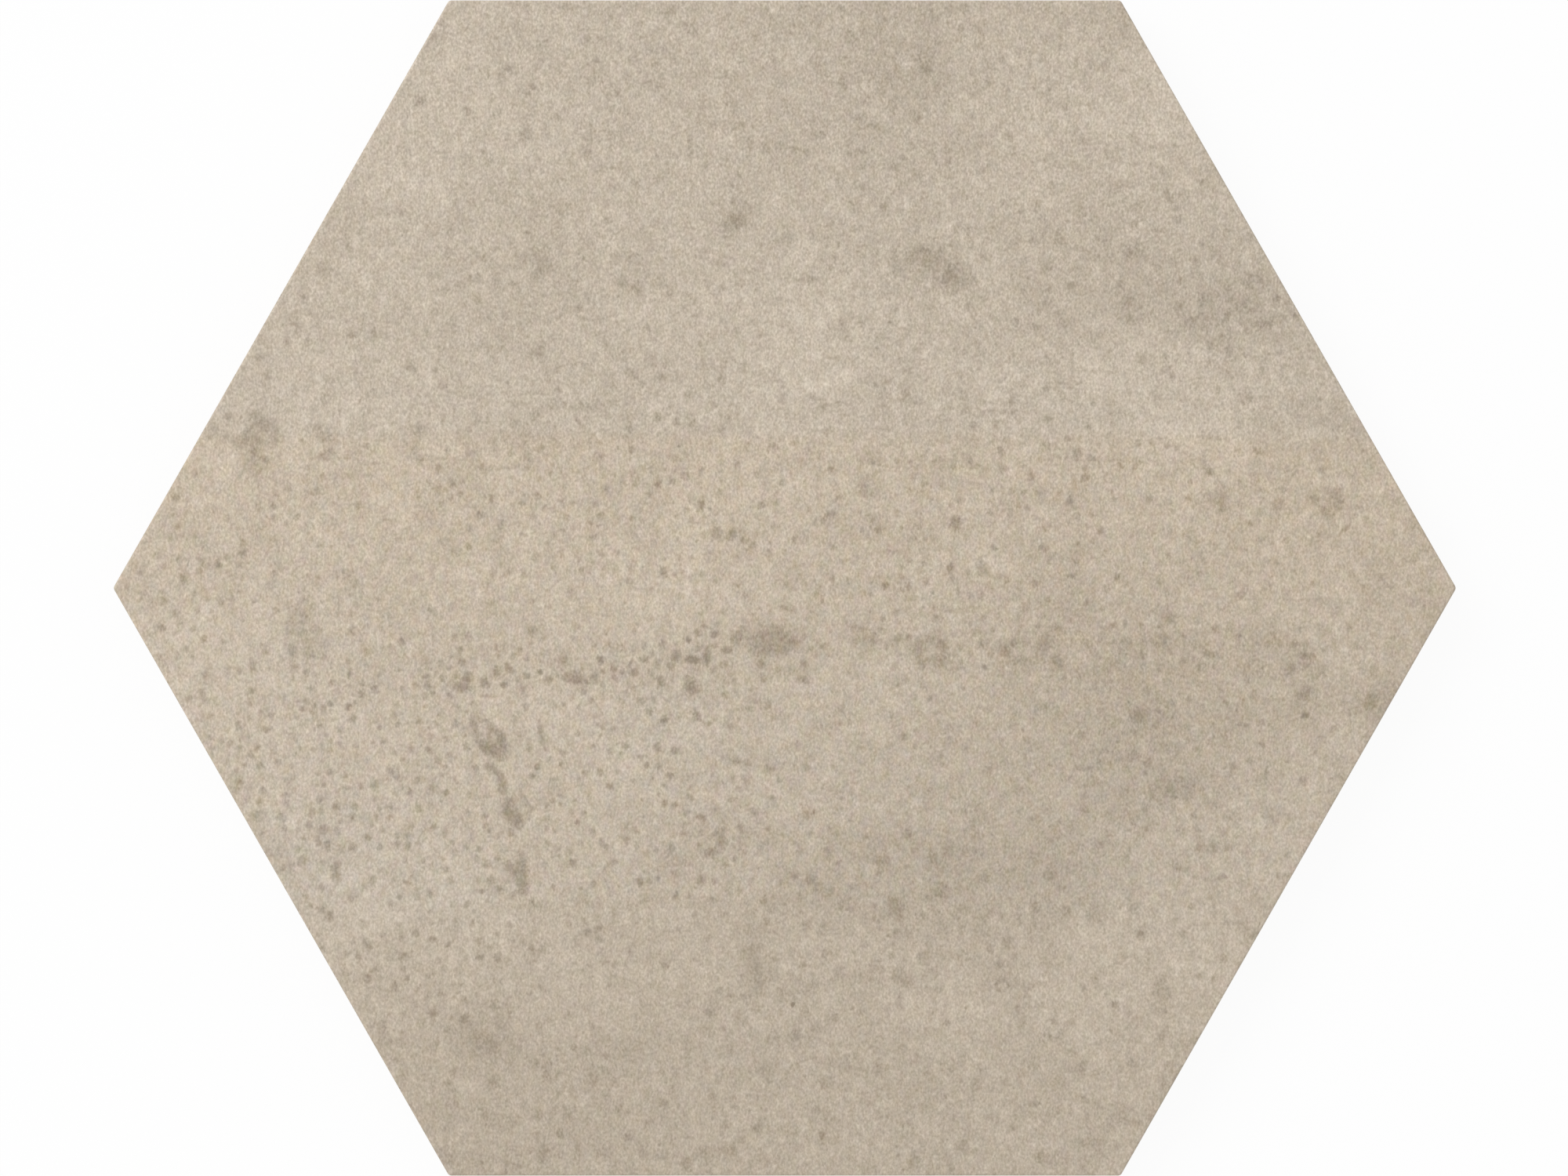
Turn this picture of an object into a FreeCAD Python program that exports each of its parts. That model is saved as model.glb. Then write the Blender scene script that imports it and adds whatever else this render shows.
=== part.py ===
"""A dry-pressed porcelain floor tile in the shape of a flat-topped hexagon.

The tile is one fired piece. Its glazed face is up and flat, with a small eased arris.
Its edges are upright, so that neighbouring tiles meet across an even joint, and a 45 degree
bevel runs round the back. The back is keyed for the adhesive bed: a honeycomb of shallow,
drafted pockets inside a plain rim, so that the tile rests on the ribs between the pockets.

Frame, in millimetres: the origin is the centre of the back, in the plane that the tile rests on.
+Z points up through the face, and +X from the centre to the right-hand corner.
"""

import FreeCAD, Part

import math
import os

# Outline, seen from above
across_corners = 200.0  # from the left corner to the right corner, along X
across_flats = 175.0  # between the two sides that lie along X
corner_radius = 0.6  # of the six upright corners

# Section through an edge
thickness = 9.0  # from the rib tips of the back to the face
face_arris_radius = 0.4  # the eased edge round the face
back_bevel = 1.2  # the 45 degree bevel round the back

# Keyed back
rim_width = 5.5  # least plain margin between the bevel and a pocket's mouth
pocket_pitch = 12.2  # from one pocket's centre to the next
rib_width = 2.4  # between the mouths of two neighbouring pockets
pocket_depth = 0.8
pocket_draft = 30.0  # degrees that a pocket's walls lean from upright

# How far a cutting shape runs past the surface that it cuts
cut_margin = 0.5

half_corners = across_corners / 2
half_flats = across_flats / 2

# A sloping side runs from the right-hand corner to the end of a flat. These are the outward
# direction of that side and its distance from the centre.
slope_length = math.hypot(half_flats, half_corners / 2)
slope_normal_x = half_flats / slope_length
slope_normal_y = half_corners / 2 / slope_length
slope_distance = half_corners * slope_normal_x


def flat_face(corners):
    """A flat face with the given corners."""
    points = [FreeCAD.Vector(*corner) for corner in corners]
    return Part.Face(Part.makePolygon(points + points[:1]))


def frustum(lower, upper):
    """The solid between two level hexagons whose sides are parallel."""
    sides = [(lower[i - 1], lower[i], upper[i], upper[i - 1]) for i in range(len(lower))]
    shell = Part.makeShell([flat_face(corners) for corners in (lower, upper, *sides)])
    solid = Part.makeSolid(shell)
    return solid if solid.Volume > 0 else solid.reversed()


def outline(inset, z):
    """Corners of the tile's outline at height z, with every side moved in by inset."""
    flat_y = half_flats - inset
    corner_x = (slope_distance - inset) / slope_normal_x
    flat_end_x = (slope_distance - inset - slope_normal_y * flat_y) / slope_normal_x
    return [
        (corner_x, 0, z),
        (flat_end_x, flat_y, z),
        (-flat_end_x, flat_y, z),
        (-corner_x, 0, z),
        (-flat_end_x, -flat_y, z),
        (flat_end_x, -flat_y, z),
    ]


def is_upright(edge):
    """Whether an edge runs along Z."""
    start, end = (vertex.Point for vertex in edge.Vertexes)
    return math.hypot(end.x - start.x, end.y - start.y) < 1e-6


def lies_at(edge, z):
    """Whether an edge lies in the level plane at height z."""
    box = edge.BoundBox
    return abs(box.ZMin - z) < 1e-6 and abs(box.ZMax - z) < 1e-6


def pressed_blank():
    """The tile with its eased corners and arris, before the back is bevelled and keyed."""
    prism = flat_face(outline(0, 0)).extrude(FreeCAD.Vector(0, 0, thickness))
    rounded = prism.makeFillet(corner_radius, [e for e in prism.Edges if is_upright(e)])
    arris = [e for e in rounded.Edges if lies_at(e, thickness)]
    return rounded.makeFillet(face_arris_radius, arris)


def bevel_envelope():
    """A hexagonal funnel that widens upwards at 45 degrees. What lies outside it is bevelled off."""
    foot = outline(back_bevel + cut_margin, -cut_margin)
    mouth = outline(back_bevel - thickness - cut_margin, thickness + cut_margin)
    return frustum(foot, mouth)


def pocket_section(z):
    """Corners of a pocket's section at height z, about the Z axis. Two of them face +Y and -Y."""
    lean = math.tan(math.radians(pocket_draft))
    across = pocket_pitch - rib_width - 2 * z * lean
    reach = across / math.sqrt(3)
    angles = [math.radians(30 + 60 * turn) for turn in range(6)]
    return [(reach * math.cos(a), reach * math.sin(a), z) for a in angles]


def pocket_cutter():
    """One pocket, as the solid that is cut from the back."""
    return frustum(pocket_section(-cut_margin), pocket_section(pocket_depth))


def fits_in_rim(x, y):
    """Whether a pocket about (x, y) leaves the rim plain."""
    margin = back_bevel + rim_width
    mouth = [(abs(x + dx), abs(y + dy)) for dx, dy, _ in pocket_section(0)]
    within_flats = all(my <= half_flats - margin for _, my in mouth)
    within_slopes = all(
        slope_normal_x * mx + slope_normal_y * my <= slope_distance - margin for mx, my in mouth
    )
    return within_flats and within_slopes


def pocket_centres():
    """Centres of the honeycomb's pockets, row by row, with every second row set over half a pitch."""
    row_step = pocket_pitch * math.sqrt(3) / 2
    rows = math.ceil(half_flats / row_step)
    columns = math.ceil(half_corners / pocket_pitch)
    centres = []
    for row in range(-rows, rows + 1):
        shift = (row % 2) / 2
        for column in range(-columns - 1, columns + 1):
            x, y = (column + shift) * pocket_pitch, row * row_step
            if fits_in_rim(x, y):
                centres.append((x, y))
    return centres


def keyed_back():
    """All the pockets of the back, as one shape to cut."""
    cutter = pocket_cutter()
    return Part.makeCompound(
        [cutter.translated(FreeCAD.Vector(x, y, 0)) for x, y in pocket_centres()]
    )


def tile():
    """The finished tile, one solid."""
    return pressed_blank().common(bevel_envelope()).cut(keyed_back())


def main():
    os.makedirs("parts", exist_ok=True)
    shape = tile()
    solid = shape.Solids[0]
    box = solid.BoundBox
    print(f"solids {len(shape.Solids)}, valid {solid.isValid()}, faces {len(solid.Faces)}")
    print(f"{box.XLength:.3f} x {box.YLength:.3f} x {box.ZLength:.3f} mm")
    print(f"pockets {len(pocket_centres())}, volume {solid.Volume / 1000:.2f} cm3")
    solid.exportStep("parts/hexagon_tile.step")


main()
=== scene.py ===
"""Looks of a hexagonal porcelain floor tile, seen straight from above on a white floor.

The tile is one piece, made here again as a finer mesh: its face has the glaze's slight relief,
and its sides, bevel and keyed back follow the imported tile. The face's print is a cement look.
Its clouds and drifts are worked out at the face's points. Its stains, specks and strokes are
ellipses with ragged edges: each triangle of the face knows the three that lie nearest to it, and
nodes draw them. Its fine grain comes from nodes alone. The print's places are in millimetres from
the tile's middle, put where the photograph shows them.
"""

import math

import bpy
import numpy as np
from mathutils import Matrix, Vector
from mathutils.geometry import delaunay_2d_cdt


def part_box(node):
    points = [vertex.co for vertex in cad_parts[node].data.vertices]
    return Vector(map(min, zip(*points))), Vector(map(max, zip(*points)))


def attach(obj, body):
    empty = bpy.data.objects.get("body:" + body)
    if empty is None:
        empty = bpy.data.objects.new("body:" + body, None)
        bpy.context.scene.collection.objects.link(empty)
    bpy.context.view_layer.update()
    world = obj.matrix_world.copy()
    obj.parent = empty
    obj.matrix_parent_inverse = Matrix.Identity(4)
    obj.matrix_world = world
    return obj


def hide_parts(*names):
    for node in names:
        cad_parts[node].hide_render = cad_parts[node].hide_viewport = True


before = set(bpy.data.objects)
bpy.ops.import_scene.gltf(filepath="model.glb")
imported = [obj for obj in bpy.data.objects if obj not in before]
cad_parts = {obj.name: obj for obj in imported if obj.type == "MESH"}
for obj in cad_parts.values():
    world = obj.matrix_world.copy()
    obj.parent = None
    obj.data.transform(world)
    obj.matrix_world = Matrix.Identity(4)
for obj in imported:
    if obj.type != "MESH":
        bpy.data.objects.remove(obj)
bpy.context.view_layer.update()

MM = 0.001

# Sizes of the tile, in millimetres
low_corner, high_corner = (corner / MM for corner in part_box("hexagon_tile"))
half_flats = high_corner.y
thickness = high_corner.z
half_corners = 100.0  # to the sharp corner, before it is eased
corner_radius = 0.6
arris_radius = 0.4
back_bevel = 1.2
pocket_pitch = 12.2
pocket_mouth = 9.8  # across a pocket's flats, in the plane of the back
pocket_depth = 0.8
pocket_draft = math.radians(30)
pocket_rim_margin = 6.7  # least distance from a pocket's mouth to the tile's sides
pocket_lip = 0.12  # the soft edge that pressing leaves round a pocket's mouth

# The face's mesh is a lattice of triangles that fills the hexagon in rings round its middle.
face_rings = 164
arris_steps = 5
edge_rows = 7
marks_per_triangle = 3

slope_length = math.hypot(half_flats, half_corners / 2)
slope_normal = (half_flats / slope_length, half_corners / 2 / slope_length)
slope_distance = half_corners * slope_normal[0]


# The print's clouds: x, y, half width, half height, and how many levels of 255 they lighten
# or darken the face. They follow the photograph from its top to its bottom.
clouds = [
    (-50, 70, 11, 12, 4),
    (-5, 71, 46, 15, -2.4),
    (12, 55, 8, 20, -1.6),
    (51, 79, 5, 6, -2),
    (-60, 66, 8, 8, 1),
    (-50, 84, 6, 6, 3),
    (-33, 72, 8, 5, 2),
    (18, 77, 6, 7, -5),
    (15, 85, 11, 5, -4),
    (35, 66, 5, 9, 3),
    (57, 72, 8, 8, 9),
    (39, 72, 6, 7, 3),
    (50, 84, 6, 5, -2),
    (6, 67, 8, 4, -3),
    (27, 66, 7, 4, -3),
    (-38, 49, 10, 10, -5.5),
    (-34, 39, 6, 5, -2.5),
    (-30, 43, 5, 4, 2.4),
    (-66, 42, 10, 8, -1.5),
    (-55, 33, 5, 5, -2),
    (-57, 52, 4, 9, 3),
    (-21, 47, 5, 4, -2),
    (5, 56, 4, 6, 2),
    (12, 52, 4, 7, -2),
    (41, 52, 6, 8, -4),
    (51, 48, 4, 8, -5),
    (55, 42, 8, 4, -5),
    (56, 39, 4, 3, -4),
    (68, 41, 7, 6, -6),
    (39, 41, 6, 3, -4),
    (48, 38, 4, 5, 2.5),
    (38, 31, 13, 9, 1.8),
    (4, 37, 9, 9, 8),
    (11, 31, 11, 14, -2.4),
    (18, 52, 3, 2, 2.5),
    (-68, 31, 5, 6, 2.5),
    (-73, 25, 5, 4, 2),
    (-64, 26, 14, 5, 2.2),
    (-18, 31, 8, 4, -3),
    (45, 33, 9, 4, 3),
    (57, 36, 4, 1.8, 3),
    (63, 34.5, 4, 1.8, 3.5),
    (69, 32.5, 4, 1.8, 4),
    (75, 31, 4, 2, 4),
    (60, 24, 7, 7, 7.5),
    (72, 21, 7, 6, -1.5),
    (61, 13, 22, 15, 1.2),
    (-83, 17, 8, 7, 4),
    (-58, 13, 4, 5, 5),
    (-45, 10, 32, 6, -1.8),
    (-38, 22, 4, 4, -3),
    (-50, 15, 4, 3, -3),
    (-15, 16, 6, 4, -2),
    (-14, 8, 2.6, 5, 6.5),
    (-9, 12, 9, 7, 2.6),
    (-11, 9, 6, 6, 2.4),
    (-9, 8, 4, 3, -4),
    (-35, 3, 9, 8, 3),
    (-70, 3, 6, 5, 2.2),
    (-80, 8, 4, 4, -2),
    (12, 9, 4, 3, -2),
    (40, 12, 8, 6, -3),
    (34, 11, 5, 4, 2.4),
    (47, 23, 4, 5, 2.5),
    (23, 2, 5, 4, 3),
    (20, -1, 6, 5, -3),
    (1, -1, 4, 3, -2.5),
    (31, 3, 5, 6, 2),
    (42, 3, 5, 6, -2),
    (80, 13, 5, 7, -2),
    (88, 8, 5, 6, 2),
    (96, 0, 6, 5, -4),
    (79, -2, 6, 5, 3),
    (85, -10, 6, 3, 2.4),
    (-92, -8, 9, 8, 3),
    (-80, -12, 9, 8, 3),
    (-19, -3, 6, 6, 3),
    (-62, -18, 8, 7, 2),
    (-60, -9, 5, 5, -2.6),
    (-47, -20, 6, 4, -2),
    (-51, -24, 4, 3, -3),
    (-70, -43, 4, 3, -4),
    (-48, -34, 26, 11, 2),
    (-61, -38, 7, 6, 1.5),
    (-21, -29, 6, 7, 1.6),
    (-28, -42, 9, 4, 1.4),
    (-30, -13, 26, 2.2, -4),
    (-35, -18, 9, 4, 4),
    (-20, -30, 5, 8, 2),
    (-72, -33, 9, 9, 2),
    (50, -17, 20, 14, -7),
    (52, -22, 5, 7, -4),
    (58, -29, 4, 3, -5),
    (55, -8, 5, 3, -3),
    (76, -9, 4, 3, -3),
    (77, -15, 4, 4, -4),
    (89, -16, 3.4, 4, -8),
    (80, -25, 14, 9, 3.6),
    (66, -16, 8, 6, -1),
    (70, -20, 10, 6, -2.6),
    (46, -25, 4, 4, 2.6),
    (24, -11, 9, 8, 3),
    (30, -24, 16, 10, -3),
    (23, -40, 14, 6, -7),
    (25, -48, 13, 6, -6),
    (17, -46, 4, 3, 2.6),
    (-8, -50, 38, 5, -2),
    (43, -42, 7, 6, -6),
    (4, -43, 6, 5, -4),
    (-14, -35, 6, 6, -4),
    (-18, -41, 5, 4, -3),
    (72, -46, 10, 10, 4),
    (64, -60, 6, 8, 7),
    (66, -48, 5, 6, -3.5),
    (54, -49, 5, 7, 4),
    (46, -61, 6, 8, 4),
    (59, -71, 4, 5, -2),
    (-62, -47, 9, 6, 4),
    (-45, -47, 9, 5, 2),
    (-52, -50, 7, 4, 2.4),
    (-49, -66, 7, 4, 2.4),
    (-58, -58, 7, 7, -3),
    (-31, -58, 7, 6, 2),
    (-27, -52, 4, 3, -4),
    (-4, -56, 3, 8, -5),
    (6, -60, 6, 5, -2),
    (24, -63, 7, 6, 4),
    (35, -62, 3, 5, -4),
    (-43, -67, 6, 4, -7),
    (-51, -72, 10, 6, -4),
    (-28, -68.5, 20, 4, -6),
    (-12, -63, 12, 7, -2.2),
    (-42, -52, 8, 4, -1.8),
    (-26, -80, 9, 6, -6),
    (-47, -85, 10, 6, -6),
    (-9, -84, 13, 6, 1),
    (0, -80, 14, 8, -3),
    (11, -73, 13, 8, 1.4),
    (8, -70, 5, 7, -2.5),
    (18, -70, 6, 5, -5),
    (43, -74, 7, 6, -5),
    (50, -70, 6, 9, 3.5),
    (59, -68, 5, 6, -4.5),
    (52, -60, 4, 3, -2.4),
    (21, -80, 4, 4, -3.2),
    (54, -62, 4, 5, -1.5),
    (30, -84, 12, 5, -1),
]

# Broad drifts of tone, as above. The face is made lighter to the left and darker at the bottom.
broad_drifts = [
    (-70, 0, 45, 45, 2.4),
    (0, -95, 90, 38, -5.4),
    (75, -35, 50, 40, -1.8),
    (0, 40, 60, 40, 1.8),
    (0, 0, 130, 110, 2.5),
]

# Soft grounds of the stains, and a few pale patches and rings: x, y, half width, half height,
# levels
soft_stains = [
    (-78.8, 22.0, 2.9, 4.0, -11),
    (-6.9, 54.7, 2.8, 2.6, -6),
    (21.0, 49.2, 4.2, 2.2, -9),
    (25.0, 46.4, 2.2, 2.8, -9),
    (-72.0, -6.8, 3.4, 4.6, -5),
    (-1.8, -8.2, 4.0, 2.6, -13),
    (-14.2, -10.5, 3.5, 1.2, -6),
    (11.6, -7.0, 3.2, 2.2, -4),
    (21.6, -9.4, 3.1, 2.6, -7),
    (36.4, -9.3, 5.0, 2.4, -6),
    (77.5, -10.0, 2.2, 1.6, -3),
    (76.8, -15.6, 1.8, 1.6, -4),
    (88.4, -16.2, 2.4, 2.2, -5),
    (-40.3, -33.2, 1.4, 2.6, -4),
    (-39.6, -43.2, 1.4, 2.6, -4),
    (-43.5, -23.4, 2.1, 1.5, -8),
    (-4.6, -56.6, 2.0, 3.6, -4),
    (-28.5, -51.6, 2.2, 1.4, -4),
    (69.5, 41.0, 2.6, 2.2, -4),
    (70.8, 45.8, 2.0, 1.4, -4),
    (64.3, 13.0, 2.6, 2.0, -6),
    (77.7, 11.2, 1.2, 2.0, 8),
    (81.8, 15.9, 2.2, 0.9, 8),
    (84.2, 12.0, 0.8, 2.0, 6),
    (81.8, 9.8, 1.8, 0.6, 5),
    (77.1, -26.8, 1.5, 0.7, 6),
    (66.2, -52.4, 1.2, 1.0, 6),
    (7.9, -76.3, 0.9, 0.7, 6),
    (45.2, 33.1, 2.4, 0.5, 7),
    (52.0, 33.1, 1.4, 0.4, 5),
]

# The stains' cores and ragged patches: x, y, half width, half height if it differs, and the
# degrees by which it leans
stain_cores = [
    # the left stain
    (-81.0, 21.9, 1.0), (-80.1, 23.0, 0.6), (-79.1, 22.2, 0.8), (-78.2, 21.9, 0.6),
    (-79.0, 20.4, 0.8), (-77.7, 19.3, 0.8, 0.5), (-79.0, 25.7, 0.7), (-73.2, -9.4, 0.6),
    # the top stain and the arched one
    (-6.9, 54.7, 1.3, 1.2), (-6.8, 54.6, 0.8), (20.7, 50.2, 1.2, 0.5), (24.6, 46.8, 0.9, 1.4),
    (24.0, 45.8, 0.6), (19.5, 70.2, 0.9),
    # the row of five right of the middle
    (-2.0, -7.9, 3.0, 1.9), (-3.4, -7.4, 1.3, 0.9), (-0.5, -9.0, 1.5, 0.9), (1.3, -8.0, 1.0, 0.7),
    (20.1, -8.5, 0.9), (21.6, -7.7, 0.9, 0.7), (23.5, -8.5, 0.8),
    (19.8, -9.6, 0.8), (20.4, -11.2, 0.9, 0.7), (23.0, -10.8, 0.9), (32.8, -9.3, 0.8),
    (34.0, -8.2, 0.6), (38.6, -8.4, 0.9, 2.2), (40.3, -10.5, 0.7), (41.1, -11.7, 0.45),
    # right
    (77.1, -15.9, 1.2, 0.8), (77.7, -10.1, 1.1, 0.6), (87.1, -16.9, 0.8, 1.5),
    (78.7, 12.9, 0.9, 1.1), (81.6, 14.0, 1.0), (82.2, 12.6, 1.1), (80.8, 11.3, 0.9),
    (83.5, 8.9, 1.0, 0.35, 45),
]
stain_patches = [
    (-77.2, 24.2, 2.0, 1.0), (-79.3, 17.8, 1.2), (-75.8, 22.5, 0.8, 1.5), (-71.8, -3.7, 1.2),
    (-71.7, -6.7, 0.7), (-69.6, -6.2, 0.7), (-70.3, -8.9, 1.3), (-71.4, -1.9, 0.6),
    (-73.9, -2.3, 0.4), (-7.9, 53.6, 1.2), (-7.6, 57.2, 0.5), (17.3, 47.4, 1.2), (18.2, 48.4, 0.6),
    (19.2, 49.2, 1.0, 0.8), (21.7, 48.3, 1.5), (23.2, 49.5, 0.8), (25.8, 47.7, 0.7),
    (27.0, 45.7, 1.2), (25.2, 44.2, 0.3, 0.8), (2.0, -8.7, 0.7), (-4.8, -9.3, 0.5),
    (-5.4, -7.4, 0.6), (2.9, -7.2, 0.5), (-3.8, -5.6, 0.6),
    (-1.9, -6.3, 0.7), (11.1, -6.0, 1.2, 0.9), (12.8, -7.9, 1.5, 0.8), (13.3, -7.0, 0.5),
    (10.8, -7.6, 0.6), (33.6, -10.8, 1.5, 0.7), (35.8, -10.7, 0.7), (35.9, -8.3, 0.5),
    (50.2, -78.8, 2.2, 1.6), (45.4, -82.6, 3.0, 0.8), (46.2, -49.1, 1.3), (58.1, -29.7, 2.5, 1.8),
    (51.3, -25.1, 1.6, 0.8), (77.8, -15.2, 0.7), (76.2, -17.5, 0.8), (33.0, -52.7, 0.9),
    (-43.5, -73.5, 1.1, 0.9), (-44.1, -68.0, 1.3), (-45.7, -66.8, 1.0), (-35.7, -84.3, 1.1),
    (21.0, 77.3, 1.0, 1.2), (-36.0, 48.0, 1.5), (80.9, 7.7, 1.5, 0.3), (-42.8, -23.3, 1.0),
]

# Single specks, as above: the darkest, the bold and the soft
darkest_specks = [
    (-13.9, -14.7, 0.95, 1.3), (-68.4, 19.4, 0.9, 0.6), (-49.4, 15.5, 0.45, 0.6),
    (-18.8, 15.5, 0.6), (-7.8, 8.1, 0.65), (-18.0, 2.4, 0.55), (14.0, 8.7, 0.6, 0.5),
    (24.6, 3.0, 0.65), (77.4, -18.9, 0.55), (63.2, 17.3, 0.5), (-18.3, 31.3, 0.55),
    (-54.4, 72.3, 0.75), (-41.2, 77.3, 0.5), (-37.5, 74.5, 0.4, 0.75),
    (-64.3, 37.7, 0.7, 0.55), (-27.4, -10.7, 0.5, 0.7), (-21.7, -43.7, 0.5),
    (-11.5, -10.2, 0.65, 1.2), (-8.6, -9.3, 0.7, 0.6), (-20.1, -18.5, 0.65, 0.4, -30),
    (-18.0, -19.7, 0.9, 0.5, 45), (-13.0, -19.0, 0.45, 0.95), (-7.3, -25.8, 0.7, 0.5),
    (-19.0, -23.7, 0.5, 0.7), (-16.3, -24.1, 0.5), (-12.6, 12.3, 0.65), (7.0, 11.0, 0.8, 0.5),
    (25.4, 9.7, 0.9, 1.0), (-2.4, -17.4, 0.5, 0.75, -30), (-18.5, -14.0, 0.5, 0.8),
    (2.8, -13.7, 0.9, 0.5), (-36.4, -12.6, 0.4), (-41.8, -14.4, 0.6, 0.5),
]
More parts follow.
